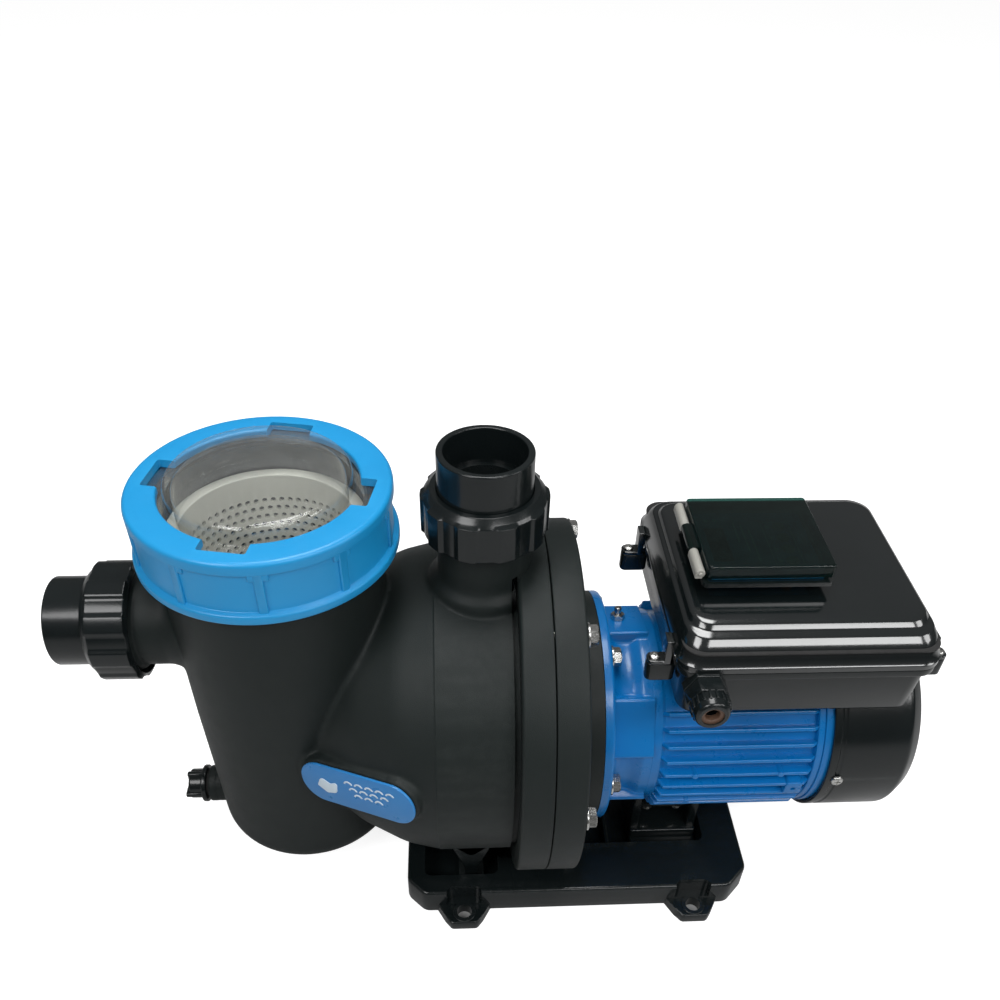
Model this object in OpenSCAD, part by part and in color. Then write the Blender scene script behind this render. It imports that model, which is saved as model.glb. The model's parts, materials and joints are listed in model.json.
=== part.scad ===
// Pool circulation pump: strainer pot and volute in one moulding, threaded lock ring over a
// clear lid, two pipe unions, seal plate, finned motor with a speed control box, and a base.
// Millimetres. X runs along the shaft towards the motor fan, Z is up, and the origin is the
// centre of the four base bolt holes on the floor.

/* [Set-out] */
// Height of the volute centre line above the floor
volute_z = 135; // [134:1:136]
// Height of the shaft centre line above the floor
shaft_z = 122; // [121:1:124]
// Height of the suction union centre line above the floor
inlet_z = 212; // [208:1:216]
// Distance from the base centre to the strainer pot axis
pot_dist = 204; // [202:1:207]
// Distance from the base centre to the discharge union axis
discharge_dist = 70; // [68:1:74]

/* [Strainer pot] */
// Outside radius of the pot
pot_r = 69.5; // [69:0.5:70]
// Wall thickness of the pot
pot_wall = 7; // [6:0.5:8]
// Height of the pot rim above the floor
pot_rim_z = 306; // [304:1:308]
// Outside radius of the lock ring
ring_r = 79; // [78.5:0.5:82]
// Radius of the opening in the lock ring
ring_hole_r = 59.5; // [58:0.5:60]
// Radius of the raised clear dome
dome_r = 55.5; // [50:0.5:56]
// Number of grip ribs on the lock ring
ring_ribs = 10; // [8:2:12]

/* [Pipe unions] */
// Radius of the glue socket for the pipe
socket_r = 25.15; // [25.1:0.05:25.4]
// Outside radius of the tail piece
tail_r = 29.5; // [29:0.25:29.5]
// Radius of the union nut over its ribs
union_nut_r = 39.8; // [39.5:0.1:41]
// Length of the tail piece
tail_len = 36.5; // [34:0.5:40]

/* [Volute and seal plate] */
// Radius of the straight volute casing
volute_r = 111; // [110:1:113]
// Radius of the bolted rim
rim_r = 127; // [126:0.5:129]
// Number of rim bolts
rim_bolt_count = 6; // [6:1:8]

/* [Motor] */
// Radius over the frame fins
fin_tip_r = 76; // [75:0.5:77]
// Radius of the fan cover
fan_cover_r = 78; // [78:0.5:79]
// Radius of the motor mounting flange
flange_r = 84; // [83:0.5:86]
// Number of bolts in the motor mounting flange
flange_bolt_count = 5; // [4:1:6]

/* [Control box] */
// Half width of the control box
box_half_w = 83; // [81:1:85]
// Height of the flat top of the control box above the floor
box_top_z = 272; // [270:1:276]
// Travel of the keys
key_travel = 0.5; // [0.3:0.1:0.6]

/* [Base] */
// Spacing of the base bolt holes along the shaft
bolt_dx = 172; // [168:1:176]
// Spacing of the base bolt holes across the shaft
bolt_dy = 208; // [206:1:212]
// Radius of the base bolt holes
bolt_hole_r = 5.5; // [4.5:0.5:6]
// Height of the base rails
rail_h = 24; // [20:1:26]

/* [Hidden] */
$fn = 96;

plastic = [0.16, 0.18, 0.17];
gloss = [0.09, 0.10, 0.10];
ring_blue = [0.12, 0.60, 0.87];
motor_blue = [0.04, 0.42, 0.76];
steel = [0.72, 0.72, 0.70];
pale = [0.66, 0.65, 0.60];
rubber = [0.08, 0.08, 0.08];
clear = [0.85, 0.90, 0.92, 0.4];

pot_x = -pot_dist;
discharge_x = -discharge_dist;
pot_in_r = pot_r - pot_wall;
pot_base_z = 23;
pot_floor_z = 31;
basket_seat_z = 286;
thread_r = pot_r + 1.7;
ring_thread_r = thread_r + 0.4;
ring_top_z = pot_rim_z + 13;
ring_low_z = pot_rim_z - 29;
lid_low_z = pot_rim_z + 2.9;
lid_flange_h = 4.5;

inlet_face_x = pot_x - 110.5;
discharge_face_z = volute_z + 168.5;
duct_r = 22;
spigot_r = 33;
spigot_ridge_r = 34.2;
nut_bore_r = 35.7;
nut_ridge_r = 34.5;

seam_x = -29;
rim_front_x = -50;
rim_back_x = -8;
chamber_r = volute_r - 13;
chamber_x = -95;
rim_pcd_r = 118.5;
rim_bolt_turn = 3;

flange_x = 9;
flange_t = 6.5;
bell_end_x = 44;
frame_end_x = 161;
fan_cover_x = 166;
fan_cover_end_x = 229;
fan_cover_screw_a = [0, 180, 270];
frame_r = 69;
flange_bolt_r = 75;
flange_bolt_turn = -1;
fin_count = 30;
fin_pitch = 9;
front_bearing_x = 14;
rear_bearing_x = 163;
cradle_x = -80;
foot_x0 = 46;
foot_x1 = 98;
foot_bolt_x = [60, 84];

tray_low_z = 205;
tray_top_z = 246;
cover_low_z = 247;
lug_top_z = 234;
box_x0 = 45;
box_x1 = 211;
box_lug_x = [box_x0 - 9, box_x1 + 9];
panel_x0 = 67;
panel_x1 = 141;
panel_mid_y = -2;
panel_half_w = 34;
panel_z = box_top_z - 3.5;
hinge_x = 60.5;
hinge_z = box_top_z + 3.2;
key_x = 124;
key_y = [-20, -8, 4, 16];
gland_x = 63;
gland_z = 222;

// ---- shared shapes -------------------------------------------------------------------

// solid cylinder about the volute axis
module volute_cyl(x0, x1, r) {
    translate([x0, 0, volute_z])
    rotate([0, 90, 0])
    cylinder(h = x1 - x0, r = r);
}

// solid cylinder about the shaft axis
module shaft_cyl(x0, x1, r) {
    translate([x0, 0, shaft_z])
    rotate([0, 90, 0])
    cylinder(h = x1 - x0, r = r);
}

// solid cone about the shaft axis
module shaft_cone(x0, x1, r0, r1) {
    translate([x0, 0, shaft_z])
    rotate([0, 90, 0])
    cylinder(h = x1 - x0, r1 = r0, r2 = r1);
}

// tube about the shaft axis
module shaft_tube(x0, x1, ro, ri) {
    difference() {
        shaft_cyl(x0, x1, ro);
        shaft_cyl(x0 - 1, x1 + 1, ri);
    }
}

// upright cylinder from z0 to z1 at (x, y)
module post(x, y, z0, z1, r) {
    translate([x, y, z0])
    cylinder(h = z1 - z0, r = r);
}

// upright tube
module post_tube(x, y, z0, z1, ro, ri) {
    difference() {
        post(x, y, z0, z1, ro);
        post(x, y, z0 - 1, z1 + 1, ri);
    }
}

// block between two corners
module block(lo, hi) {
    translate(lo)
    cube(hi - lo);
}

// round-section ring lying flat about Z
module o_ring(major, minor) {
    rotate_extrude()
    translate([major, 0])
    circle(minor);
}

// child turned about the shaft so that angle 0 faces the front (-Y) and 90 faces up
module at_angle(a, r, x) {
    translate([x, 0, shaft_z])
    rotate([90 - a, 0, 0])
    translate([0, 0, r])
    children();
}

// same about the volute axis
module at_rim_angle(a, r, x) {
    translate([0, 0, volute_z - shaft_z])
    at_angle(a, r, x)
    children();
}

// hex head bolt: head above z = 0, shank below
module hex_bolt(shank_r, shank_l, head_r, head_h) {
    cylinder(h = head_h, r = head_r, $fn = 6);
    translate([0, 0, -shank_l])
    cylinder(h = shank_l + 0.5, r = shank_r);
}

// pan head screw with a cross recess
module pan_screw(shank_r, shank_l, head_r, head_h) {
    difference() {
        union() {
            cylinder(h = head_h, r1 = head_r, r2 = head_r * 0.75);
            translate([0, 0, -shank_l])
            cylinder(h = shank_l + 0.5, r = shank_r);
        }
        for (a = [0, 90])
            rotate([0, 0, a])
            translate([-head_r * 0.5, -0.4, head_h - 1.2])
            cube([head_r, 0.8, 2]);
    }
}

// rounded slab with its corners at r
module rounded_slab(x0, x1, half_w, z, h, r) {
    translate([x0 + r, -half_w + r, z])
    linear_extrude(h)
    rounded_plan(x1 - x0 - 2 * r, 2 * half_w - 2 * r, r);
}

// plan of a rounded rectangle: inner rectangle lx by ly grown by r
module rounded_plan(lx, ly, r) {
    translate([-r, 0])
    square([lx + 2 * r, ly]);
    translate([0, -r])
    square([lx, ly + 2 * r]);
    for (x = [0, lx], y = [0, ly])
        translate([x, y])
        circle(r);
}

// ---- pot, volute and ports -----------------------------------------------------------

module pot_outside() {
    translate([pot_x, 0, 0])
    rotate_extrude()
    polygon([[0, pot_base_z], [pot_r - 17, pot_base_z], [pot_r - 6, pot_base_z + 5],
        [pot_r, pot_base_z + 17], [pot_r, pot_rim_z], [0, pot_rim_z]]);
    for (i = [0:2])
        post(pot_x, 0, 280 + 9 * i, 284 + 9 * i, thread_r);
    // drain boss
    translate([pot_x - pot_r + 12, 0, 38])
    rotate([0, -90, 0])
    cylinder(h = 22, r = 14);
}

module pot_inside() {
    post(pot_x, 0, basket_seat_z, pot_rim_z + 1, pot_in_r);
    post(pot_x, 0, pot_floor_z, basket_seat_z + 1, pot_in_r - 3.5);
    // groove for the lid seal
    post_tube(pot_x, 0, pot_rim_z - 1.5, pot_rim_z + 1, pot_r - 1.4, pot_in_r + 1.4);
    // drain hole
    translate([pot_x - pot_r + 20, 0, 38])
    rotate([0, -90, 0])
    cylinder(h = 40, r = 6.6);
}

module volute_outside() {
    volute_cyl(-102, rim_front_x - 3, volute_r);
    volute_cyl(rim_front_x - 3.5, rim_front_x + 0.5, volute_r - 3);
    volute_cyl(rim_front_x, seam_x, rim_r);
    translate([0, 0, volute_z])
    rotate([0, 90, 0])
    rotate_extrude()
    polygon([[0, -205], [52, -205], [volute_r - 21, -156], [volute_r - 6, -126],
        [volute_r, -102], [0, -102]]);
    // flat pad behind the badge
    badge_place()
    translate([0, 0, -12])
    linear_extrude(12)
    capsule(91, 36);
}

module volute_inside() {
    volute_cyl(chamber_x, seam_x + 1, chamber_r);
    shaft_cyl(pot_x + 30, chamber_x + 1, duct_r + 1.5);
    // pockets that keep the cone walls even
    intersection() {
        translate([0, 0, volute_z - shaft_z])
        shaft_cone(-140, chamber_x - 6, 72, 96);
        difference() {
            volute_cyl(-136, chamber_x - 6, 96);
            shaft_cyl(-137, chamber_x - 5, duct_r + 9);
            post(pot_x, 0, 0, 300, pot_r + 1);
        }
    }
    // seal groove and bolt holes in the seam face
    translate([0, 0, volute_z - shaft_z])
    shaft_tube(seam_x - 2.6, seam_x + 1, 107.4, 102.6);
    for (i = [0:rim_bolt_count - 1])
        at_rim_angle(rim_bolt_turn + i * 360 / rim_bolt_count, rim_pcd_r, seam_x - 15)
        rotate([0, 90, 0])
        cylinder(h = 16, r = 4.05);
}

module discharge_port_outside() {
    post(discharge_x, 0, volute_z + 90, discharge_face_z - 20, 30);
    post(discharge_x, 0, discharge_face_z - 20.5, discharge_face_z, spigot_r);
    for (i = [0:1])
        post(discharge_x, 0, discharge_face_z - 15 + 7 * i, discharge_face_z - 12 + 7 * i,
            spigot_ridge_r);
    post(discharge_x, 0, volute_z + volute_r - 6, volute_z + volute_r + 5, 36);
}

module inlet_port_outside() {
    translate([inlet_face_x, 0, inlet_z])
    rotate([0, 90, 0]) {
        cylinder(h = 20.5, r = spigot_r);
        cylinder(h = 60, r = 30);
        for (i = [0:1])
            translate([0, 0, 5 + 7 * i])
            cylinder(h = 3, r = spigot_ridge_r);
    }
}

module ports_inside() {
    post(discharge_x, 0, volute_z + 60, discharge_face_z + 1, duct_r);
    post_tube(discharge_x, 0, discharge_face_z - 2, discharge_face_z + 1, 29.6, 25.4);
    translate([inlet_face_x, 0, inlet_z])
    rotate([0, 90, 0]) {
        translate([0, 0, -1])
        cylinder(h = 90, r = duct_r);
        difference() {
            translate([0, 0, -1])
            cylinder(h = 3, r = 29.6);
            translate([0, 0, -2])
            cylinder(h = 5, r = 25.4);
        }
    }
}

module pump_body() {
    color(plastic)
    difference() {
        union() {
            pot_outside();
            volute_outside();
            discharge_port_outside();
            inlet_port_outside();
        }
        pot_inside();
        volute_inside();
        ports_inside();
    }
}

module rear_cover() {
    color(plastic)
    difference() {
        union() {
            volute_cyl(rim_front_x, seam_x + 0.5, chamber_r - 0.3);
            volute_cyl(seam_x, rim_back_x, rim_r);
            shaft_cyl(rim_back_x - 1, flange_x, flange_r);
        }
        // wet side: seal pocket
        shaft_cyl(rim_front_x - 1, -38, 20);
        // shaft bore
        shaft_cyl(-40, flange_x + 1, 14);
        // dry side: hollow behind the plate
        difference() {
            shaft_cyl(-40, flange_x + 1, 66);
            shaft_cyl(-41, flange_x - 6, 24);
        }
        // two rings of radial pockets
        for (i = [0:29])
            at_rim_angle(i * 12 + 6, 0, rim_back_x - 9) {
                translate([0, -4, 106.5])
                cube([10, 8, 6]);
                translate([0, -3, 98.5])
                cube([10, 6, 6]);
            }
        for (i = [0:rim_bolt_count - 1])
            at_rim_angle(rim_bolt_turn + i * 360 / rim_bolt_count, rim_pcd_r, seam_x - 1)
            rotate([0, 90, 0])
            cylinder(h = 40, r = 4.3);
        for (i = [0:flange_bolt_count - 1])
            at_angle(flange_bolt_turn + i * 360 / flange_bolt_count, flange_bolt_r, -9)
            rotate([0, 90, 0])
            cylinder(h = 30, r = 4.05);
    }
}

module body_seal() {
    color(rubber)
    translate([seam_x - 1.3, 0, volute_z])
    rotate([0, 90, 0])
    o_ring(105, 1.28);
}

module rim_bolts() {
    color(steel)
    for (i = [0:rim_bolt_count - 1])
        at_rim_angle(rim_bolt_turn + i * 360 / rim_bolt_count, rim_pcd_r, rim_back_x)
        rotate([0, 90, 0]) {
            translate([0, 0, 1.6])
            hex_bolt(3.98, 36, 6.9, 5.3);
            difference() {
                cylinder(h = 1.6, r = 8);
                translate([0, 0, -1])
                cylinder(h = 4, r = 3.9);
            }
        }
}

// ---- lid, ring and basket ------------------------------------------------------------

module lock_ring() {
    notch_w = 28;
    color(ring_blue)
    difference() {
        union() {
            post(pot_x, 0, ring_low_z, ring_top_z, ring_r - 1.6);
            post(pot_x, 0, ring_low_z, ring_low_z + 6, ring_r + 2);
            post(pot_x, 0, ring_top_z - 8, ring_top_z - 1.2, ring_r);
            for (i = [0:ring_ribs - 1])
                translate([pot_x, 0, ring_low_z + 5])
                rotate([0, 0, i * 360 / ring_ribs + 24])
                translate([ring_r - 6, -3, 0])
                cube([5.8, 6, ring_top_z - ring_low_z - 12]);
        }
        post(pot_x, 0, ring_low_z - 1, lid_low_z + lid_flange_h + 0.3, ring_thread_r + 1.9);
        post(pot_x, 0, ring_top_z - 10, ring_top_z + 1, ring_hole_r);
        for (i = [0:3])
            translate([pot_x, 0, ring_top_z - 7])
            rotate([0, 0, 90 * i - 10])
            translate([ring_hole_r - 4, -notch_w / 2, 0])
            cube([13, notch_w, 10]);
    }
    // internal thread ridges
    color(ring_blue)
    for (i = [0:1])
        post_tube(pot_x, 0, 284.7 + 9 * i, 288.3 + 9 * i, ring_thread_r + 2.4, ring_thread_r);
}

module clear_lid() {
    top_z = ring_top_z + 8;
    color(clear)
    translate([pot_x, 0, 0])
    rotate_extrude()
    polygon([[0, top_z - 4], [dome_r - 7, top_z - 4], [dome_r - 4, top_z - 7],
        [dome_r - 4, lid_low_z - 12], [dome_r + 5.5, lid_low_z - 12], [dome_r + 5.5, lid_low_z],
        [pot_r - 0.6, lid_low_z], [pot_r - 0.6, lid_low_z + lid_flange_h],
        [dome_r, lid_low_z + lid_flange_h], [dome_r, top_z - 4], [dome_r - 4, top_z],
        [0, top_z]]);
}

module lid_seal() {
    color(rubber)
    translate([pot_x, 0, pot_rim_z + 0.7])
    o_ring(66, 2.17);
}

module strainer_basket() {
    seat = basket_seat_z + 0.1;
    color(pale)
    difference() {
        translate([pot_x, 0, 0])
        rotate_extrude()
        polygon([[0, 62], [50, 62], [56.2, seat - 4], [58.4, seat], [61.6, seat], [61.6, seat + 3],
            [53.8, seat + 3], [53.8, seat - 4], [47.8, 64.4], [0, 64.4]]);
        // windows in the wall
        for (i = [0:19], j = [0:3])
            if (j < 2 || abs(i - 10) > 2)
                translate([pot_x, 0, 74 + 50 * j])
                rotate([0, 0, 18 * i])
                translate([40, -3.5, 0])
                cube([22, 7, 42]);
        // opening that faces the suction port
        translate([pot_x - 30, 0, inlet_z])
        rotate([0, -90, 0])
        cylinder(h = 40, r = 24);
        // slots in the floor
        for (i = [0:11])
            translate([pot_x, 0, 60])
            rotate([0, 0, 30 * i])
            translate([14, -2.5, 0])
            cube([28, 5, 8]);
    }
    color(pale)
    translate([pot_x + 52, -6, seat + 2])
    cube([8, 12, 6]);
}

// ---- unions: local z runs from the spigot face outwards --------------------------------

module union_tail() {
    difference() {
        union() {
            translate([0, 0, 1.95])
            cylinder(h = 5, r = 34);
            translate([0, 0, 1.95])
            cylinder(h = tail_len - 1.95, r = tail_r);
        }
        translate([0, 0, 1])
        cylinder(h = tail_len, r = duct_r);
        translate([0, 0, tail_len - 24])
        cylinder(h = 25, r = socket_r);
    }
}

module union_nut() {
    difference() {
        union() {
            translate([0, 0, -19.5])
            cylinder(h = 3, r1 = union_nut_r - 4, r2 = union_nut_r - 1.5);
            translate([0, 0, -16.5])
            cylinder(h = 25, r = union_nut_r - 1.5);
            translate([0, 0, 8.4])
            cylinder(h = 3.1, r1 = union_nut_r - 1.5, r2 = union_nut_r - 4);
            for (i = [0:9])
                rotate([0, 0, 36 * i])
                translate([union_nut_r - 6, -3.5, -15])
                cube([5.8, 7, 22]);
        }
        translate([0, 0, -20])
        cylinder(h = 27.2, r = nut_bore_r);
        translate([0, 0, 5])
        cylinder(h = 8, r = tail_r + 0.3);
    }
    for (i = [0:1])
        translate([0, 0, -11.6 + 7 * i])
        difference() {
            cylinder(h = 3.2, r = nut_bore_r + 0.6);
            translate([0, 0, -1])
            cylinder(h = 6, r = nut_ridge_r);
        }
}

module at_inlet() {
    translate([inlet_face_x, 0, inlet_z])
    rotate([0, -90, 0])
    children();
}

module at_discharge() {
    translate([discharge_x, 0, discharge_face_z])
    children();
}

module inlet_tail() {
    color(gloss)
    at_inlet()
    union_tail();
}

module inlet_nut() {
    color(gloss)
    at_inlet()
    union_nut();
}

module inlet_seal() {
    color(rubber)
    at_inlet()
    translate([0, 0, -0.04])
    o_ring(27.5, 1.94);
}

module discharge_tail() {
    color(gloss)
    at_discharge()
    union_tail();
}

module discharge_nut() {
    color(gloss)
    at_discharge()
    union_nut();
}

module discharge_seal() {
    color(rubber)
    at_discharge()
    translate([0, 0, -0.04])
    o_ring(27.5, 1.94);
}

// ---- drain plug: local z runs from the boss face outwards -------------------------------

module at_drain() {
    translate([pot_x - pot_r - 10, 0, 38])
    rotate([0, -90, 0])
    children();
}

module drain_plug() {
    color(gloss)
    at_drain() {
        translate([0, 0, -12])
        cylinder(h = 15, r = 6.45);
        translate([0, 0, 2.05])
        cylinder(h = 4, r = 14.5);
        difference() {
            translate([0, 0, 5])
            cylinder(h = 13, r = 11.5);
            translate([0, 0, 15])
            cylinder(h = 4, r = 8);
        }
        for (a = [0, 180])
            rotate([0, 0, a])
            translate([8, -2.5, 5.5])
            cube([6, 5, 11]);
    }
}

module drain_seal() {
    color(rubber)
    at_drain()
    difference() {
        cylinder(h = 2, r = 11.5);
        translate([0, 0, -1])
        cylinder(h = 4, r = 7);
    }
}

// ---- badge -----------------------------------------------------------------------------

module badge_place() {
    translate([-154.4, -93.4, 142])
    rotate([0, 0, -29])
    rotate([86, 0, 0])
    rotate([0, 0, 9.5])
    children();
}

module capsule(l, w) {
    square([l - w, w], center = true);
    for (s = [-1, 1])
        translate([s * (l - w) / 2, 0])
        circle(w / 2);
}

module badge() {
    color(motor_blue)
    badge_place() {
        translate([0, 0, 0.05])
        linear_extrude(2)
        capsule(88, 33);
        // three waves
        for (j = [-1:1], i = [-1:1])
            translate([12 * i, 7 * j - 2, 1.5])
            wave_arc();
    }
}

module wave_arc() {
    linear_extrude(1.2)
    intersection() {
        difference() {
            circle(7.5);
            circle(5.5);
        }
        translate([-8, 2.2])
        square([16, 8]);
    }
}

// ---- pump internals ----------------------------------------------------------------------

module diffuser() {
    color(plastic)
    difference() {
        union() {
            shaft_cyl(-106, -90, duct_r + 1.3);
            shaft_cyl(-92, -88, 80);
            shaft_tube(-90, rim_front_x - 0.2, 80, 75.5);
        }
        shaft_cyl(-107, -90.5, 20.5);
        shaft_cyl(-91, -86, 26.2);
        for (i = [0:7])
            at_angle(45 * i + 20, 68, -83)
            translate([0, -9, 0])
            cube([24, 18, 20]);
    }
}

module impeller_vane() {
    linear_extrude(14)
    intersection() {
        difference() {
            circle(34);
            circle(31.6);
        }
        translate([-32, 4])
        square([62, 32]);
    }
}

module impeller() {
    color(gloss) {
        difference() {
            union() {
                shaft_cyl(-62, -59, 64);
                shaft_cyl(-82, -59, 13);
                shaft_cone(-84, -81, 10, 13);
            }
            shaft_cyl(-79, -58, 8.05);
        }
        shaft_tube(-76, -73.5, 64, 25);
        shaft_tube(-88, -75, 26, 23.5);
        for (i = [0:5])
            translate([-74.5, 0, shaft_z])
            rotate([0, 90, 0])
            rotate([0, 0, 60 * i])
            translate([30, -14, 0])
            impeller_vane_clip();
    }
}

module impeller_vane_clip() {
    intersection() {
        impeller_vane();
        translate([-30, 14, -1])
        difference() {
            cylinder(h = 18, r = 62.5);
            translate([0, 0, -1])
            cylinder(h = 20, r = 26.5);
        }
    }
}

module seal_seat() {
    color([0.88, 0.86, 0.80])
    shaft_tube(-44.4, -38.1, 19.8, 11.5);
}

module seal_head() {
    color([0.25, 0.25, 0.26])
    shaft_tube(-50, -44.5, 17, 8.2);
    color(steel)
    for (i = [0:2])
        shaft_tube(-58 + 2.6 * i, -56.4 + 2.6 * i, 15 - i * 0.6, 12);
    color([0.25, 0.25, 0.26])
    shaft_tube(-58.9, -49, 12.6, 8.2);
}

module motor_shaft() {
    color(steel)
    union() {
        shaft_cyl(-79, -30, 8);
        shaft_cyl(-31, 190, 10);
        shaft_cyl(front_bearing_x + 14.2, rear_bearing_x - 0.2, 14);
        shaft_cyl(189, 208, 7);
    }
}

module rotor_core() {
    color([0.5, 0.5, 0.52])
    difference() {
        shaft_cyl(62, 140, 36.4);
        shaft_cyl(61, 141, 14.02);
    }
    color([0.7, 0.7, 0.72]) {
        shaft_tube(56, 62.2, 35, 18);
        shaft_tube(139.8, 146, 35, 18);
    }
}

module stator() {
    color([0.45, 0.45, 0.47])
    difference() {
        shaft_cyl(62, 140, 62.4);
        shaft_cyl(61, 141, 37);
        for (i = [0:23])
            at_angle(15 * i, 39, 61)
            translate([0, -2, 0])
            cube([80, 4, 15]);
    }
}

module windings() {
    color([0.72, 0.38, 0.18]) {
        shaft_tube(51, 61.8, 56, 42);
        shaft_tube(140.2, 151, 56, 42);
    }
}

module bearing_ring_pair(x, r0, r1) {
    shaft_tube(x, x + 14, r1, r0);
}

module bearing_outers() {
    color(steel) {
        bearing_ring_pair(front_bearing_x, 19.5, 23.48);
        bearing_ring_pair(rear_bearing_x, 19.5, 23.48);
        for (x = [front_bearing_x + 7, rear_bearing_x + 7], i = [0:7])
            at_angle(45 * i, 17.2, x)
            sphere(r = 2.9);
    }
}

module bearing_inners() {
    color(steel) {
        bearing_ring_pair(front_bearing_x, 10.02, 14.2);
        bearing_ring_pair(rear_bearing_x, 10.02, 14.2);
    }
}

module slinger() {
    color(rubber)
    difference() {
        union() {
            shaft_cyl(-4, 6, 13);
            shaft_cyl(3.5, 6, 19);
        }
        shaft_cyl(-9, 7, 10.02);
    }
}

module cooling_fan() {
    color(gloss) {
        difference() {
            union() {
                shaft_cyl(188, 206, 15);
                shaft_cyl(188, 190.5, 58);
            }
            shaft_cyl(187, 207, 7.02);
            shaft_cyl(186, 190.02, 10.3);
        }
        for (i = [0:6])
            at_angle(i * 360 / 7, 14, 190)
            translate([0, -1.2, 0])
            cube([14, 2.4, 50]);
    }
}

// ---- motor ---------------------------------------------------------------------------------

module front_shield() {
    color(motor_blue)
    difference() {
        union() {
            shaft_cyl(flange_x, flange_x + flange_t, flange_r);
            shaft_cyl(flange_x - 5, flange_x + 1, 65.9);
            shaft_cyl(flange_x, bell_end_x, 66);
            shaft_cyl(bell_end_x - 8, bell_end_x, frame_r + 1);
            // ribs between the flange and the frame
            for (i = [0:4])
                at_angle(flange_bolt_turn + 33 + 72 * i, 0, flange_x)
                translate([0, -21, 55])
                cube([bell_end_x - flange_x, 42, 16]);
        }
        shaft_cyl(flange_x - 6, flange_x + 2, 22);
        shaft_cyl(flange_x + 1, front_bearing_x + 0.2, 21);
        difference() {
            shaft_cyl(flange_x - 6, flange_x + 1, 60);
            shaft_cyl(flange_x - 7, flange_x + 2, 27);
        }
        shaft_cyl(front_bearing_x, bell_end_x + 1, 23.5);
        difference() {
            shaft_cyl(flange_x + 6, bell_end_x + 1, 60);
            shaft_cyl(flange_x + 5, 30, 29);
        }
        shaft_cyl(bell_end_x - 4, bell_end_x + 1, 62.4);
        for (i = [0:flange_bolt_count - 1])
            at_angle(flange_bolt_turn + i * 360 / flange_bolt_count, flange_bolt_r, 0)
            rotate([0, 90, 0])
            cylinder(h = 20, r = 4.3);
    }
}

module flange_bolts() {
    color(steel)
    for (i = [0:flange_bolt_count - 1])
        at_angle(flange_bolt_turn + i * 360 / flange_bolt_count, flange_bolt_r,
            flange_x + flange_t)
        rotate([0, 90, 0]) {
            translate([0, 0, 1.5])
            hex_bolt(3.98, 23, 6.9, 5.3);
            difference() {
                cylinder(h = 1.5, r = 8);
                translate([0, 0, -1])
                cylinder(h = 4, r = 3.9);
            }
        }
}

module earth_bolt() {
    color(steel)
    at_angle(flange_bolt_turn + 105, 71.05, 26) {
        cylinder(h = 4, r = 5.2, $fn = 6);
        cylinder(h = 9, r = 2.5);
    }
}

module motor_frame() {
    color(motor_blue)
    difference() {
        union() {
            shaft_tube(bell_end_x, frame_end_x, frame_r, 62.5);
            shaft_tube(bell_end_x, bell_end_x + 7, frame_r + 1, 62.5);
            shaft_tube(frame_end_x - 5, frame_end_x, frame_r + 5, 62.5);
            for (i = [0:fin_count - 1])
                at_angle(40 - i * fin_pitch, frame_r - 2, bell_end_x + 6)
                frame_fin();
            // saddle pad under the control box
            intersection() {
                shaft_tube(60, 152, 77, 66);
                block([60, -34, shaft_z + 45], [152, 34, shaft_z + 80]);
            }
            // pads for the foot
            intersection() {
                shaft_tube(foot_x0 - 2, foot_x1 + 2, 77, 66);
                block([foot_x0 - 2, -40, shaft_z - 90], [foot_x1 + 2, 40, shaft_z - 45]);
            }
        }
        // wire hole into the box
        post(100, 0, shaft_z + 55, shaft_z + 85, 9);
        for (x = foot_bolt_x, y = [-26, 26])
            post(x, y, shaft_z - 95, shaft_z - 57.5, 3.3);
    }
}

// one axial fin with sloping ends
module frame_fin() {
    l = frame_end_x - bell_end_x - 12;
    h = fin_tip_r - frame_r + 2;
    translate([0, 1.4, 0])
    rotate([90, 0, 0])
    linear_extrude(2.8)
    polygon([[0, 0], [l + 2, 0], [l - 4, h], [4, h]]);
}

module rear_shield() {
    color(motor_blue)
    difference() {
        union() {
            shaft_cyl(frame_end_x, 167, frame_r + 6);
            shaft_cyl(frame_end_x - 4, frame_end_x + 1, 62.4);
            shaft_cyl(160, 179, 29);
            for (a = fan_cover_screw_a)
                at_angle(a, 60, 161)
                translate([0, -7, 0])
                cube([20, 14, 14]);
        }
        shaft_cyl(150, 177.2, 23.5);
        shaft_cyl(150, 190, 14);
        difference() {
            shaft_cyl(150, 163, 59);
            shaft_cyl(149, 164, 29);
        }
        for (a = fan_cover_screw_a)
            at_angle(a, 50, 174)
            cylinder(h = 30, r = 2.1);
    }
}

module fan_cover() {
    end = fan_cover_end_x;
    color(gloss)
    difference() {
        union() {
            shaft_cyl(fan_cover_x, end - 8, fan_cover_r);
            shaft_cone(end - 8, end, fan_cover_r, fan_cover_r - 7);
        }
        shaft_cyl(fan_cover_x - 1, end - 9, fan_cover_r - 2.5);
        shaft_cone(end - 9.1, end - 2.5, fan_cover_r - 2.5, fan_cover_r - 8.5);
        // guard slots: three rings of slots
        for (k = [0:2])
            difference() {
                shaft_tube(end - 5, end + 1, 28 + 17 * k, 18 + 17 * k);
                for (i = [0:11])
                    at_angle(30 * i, 0, end - 6)
                    translate([0, -2, 0])
                    cube([10, 4, 80]);
            }
        for (a = fan_cover_screw_a)
            at_angle(a, 60, 174)
            cylinder(h = 30, r = 2.4);
    }
}

module fan_cover_screws() {
    color(steel)
    for (a = fan_cover_screw_a)
        at_angle(a, fan_cover_r + 0.02, 174)
        pan_screw(2, 14, 4.4, 2.4);
}

// ---- base ----------------------------------------------------------------------------------

module base_plan() {
    polygon([[-128, -85], [-115, -98], [113, -98], [129, -82], [129, 82], [113, 98],
        [-115, 98], [-128, 85]]);
}

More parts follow.
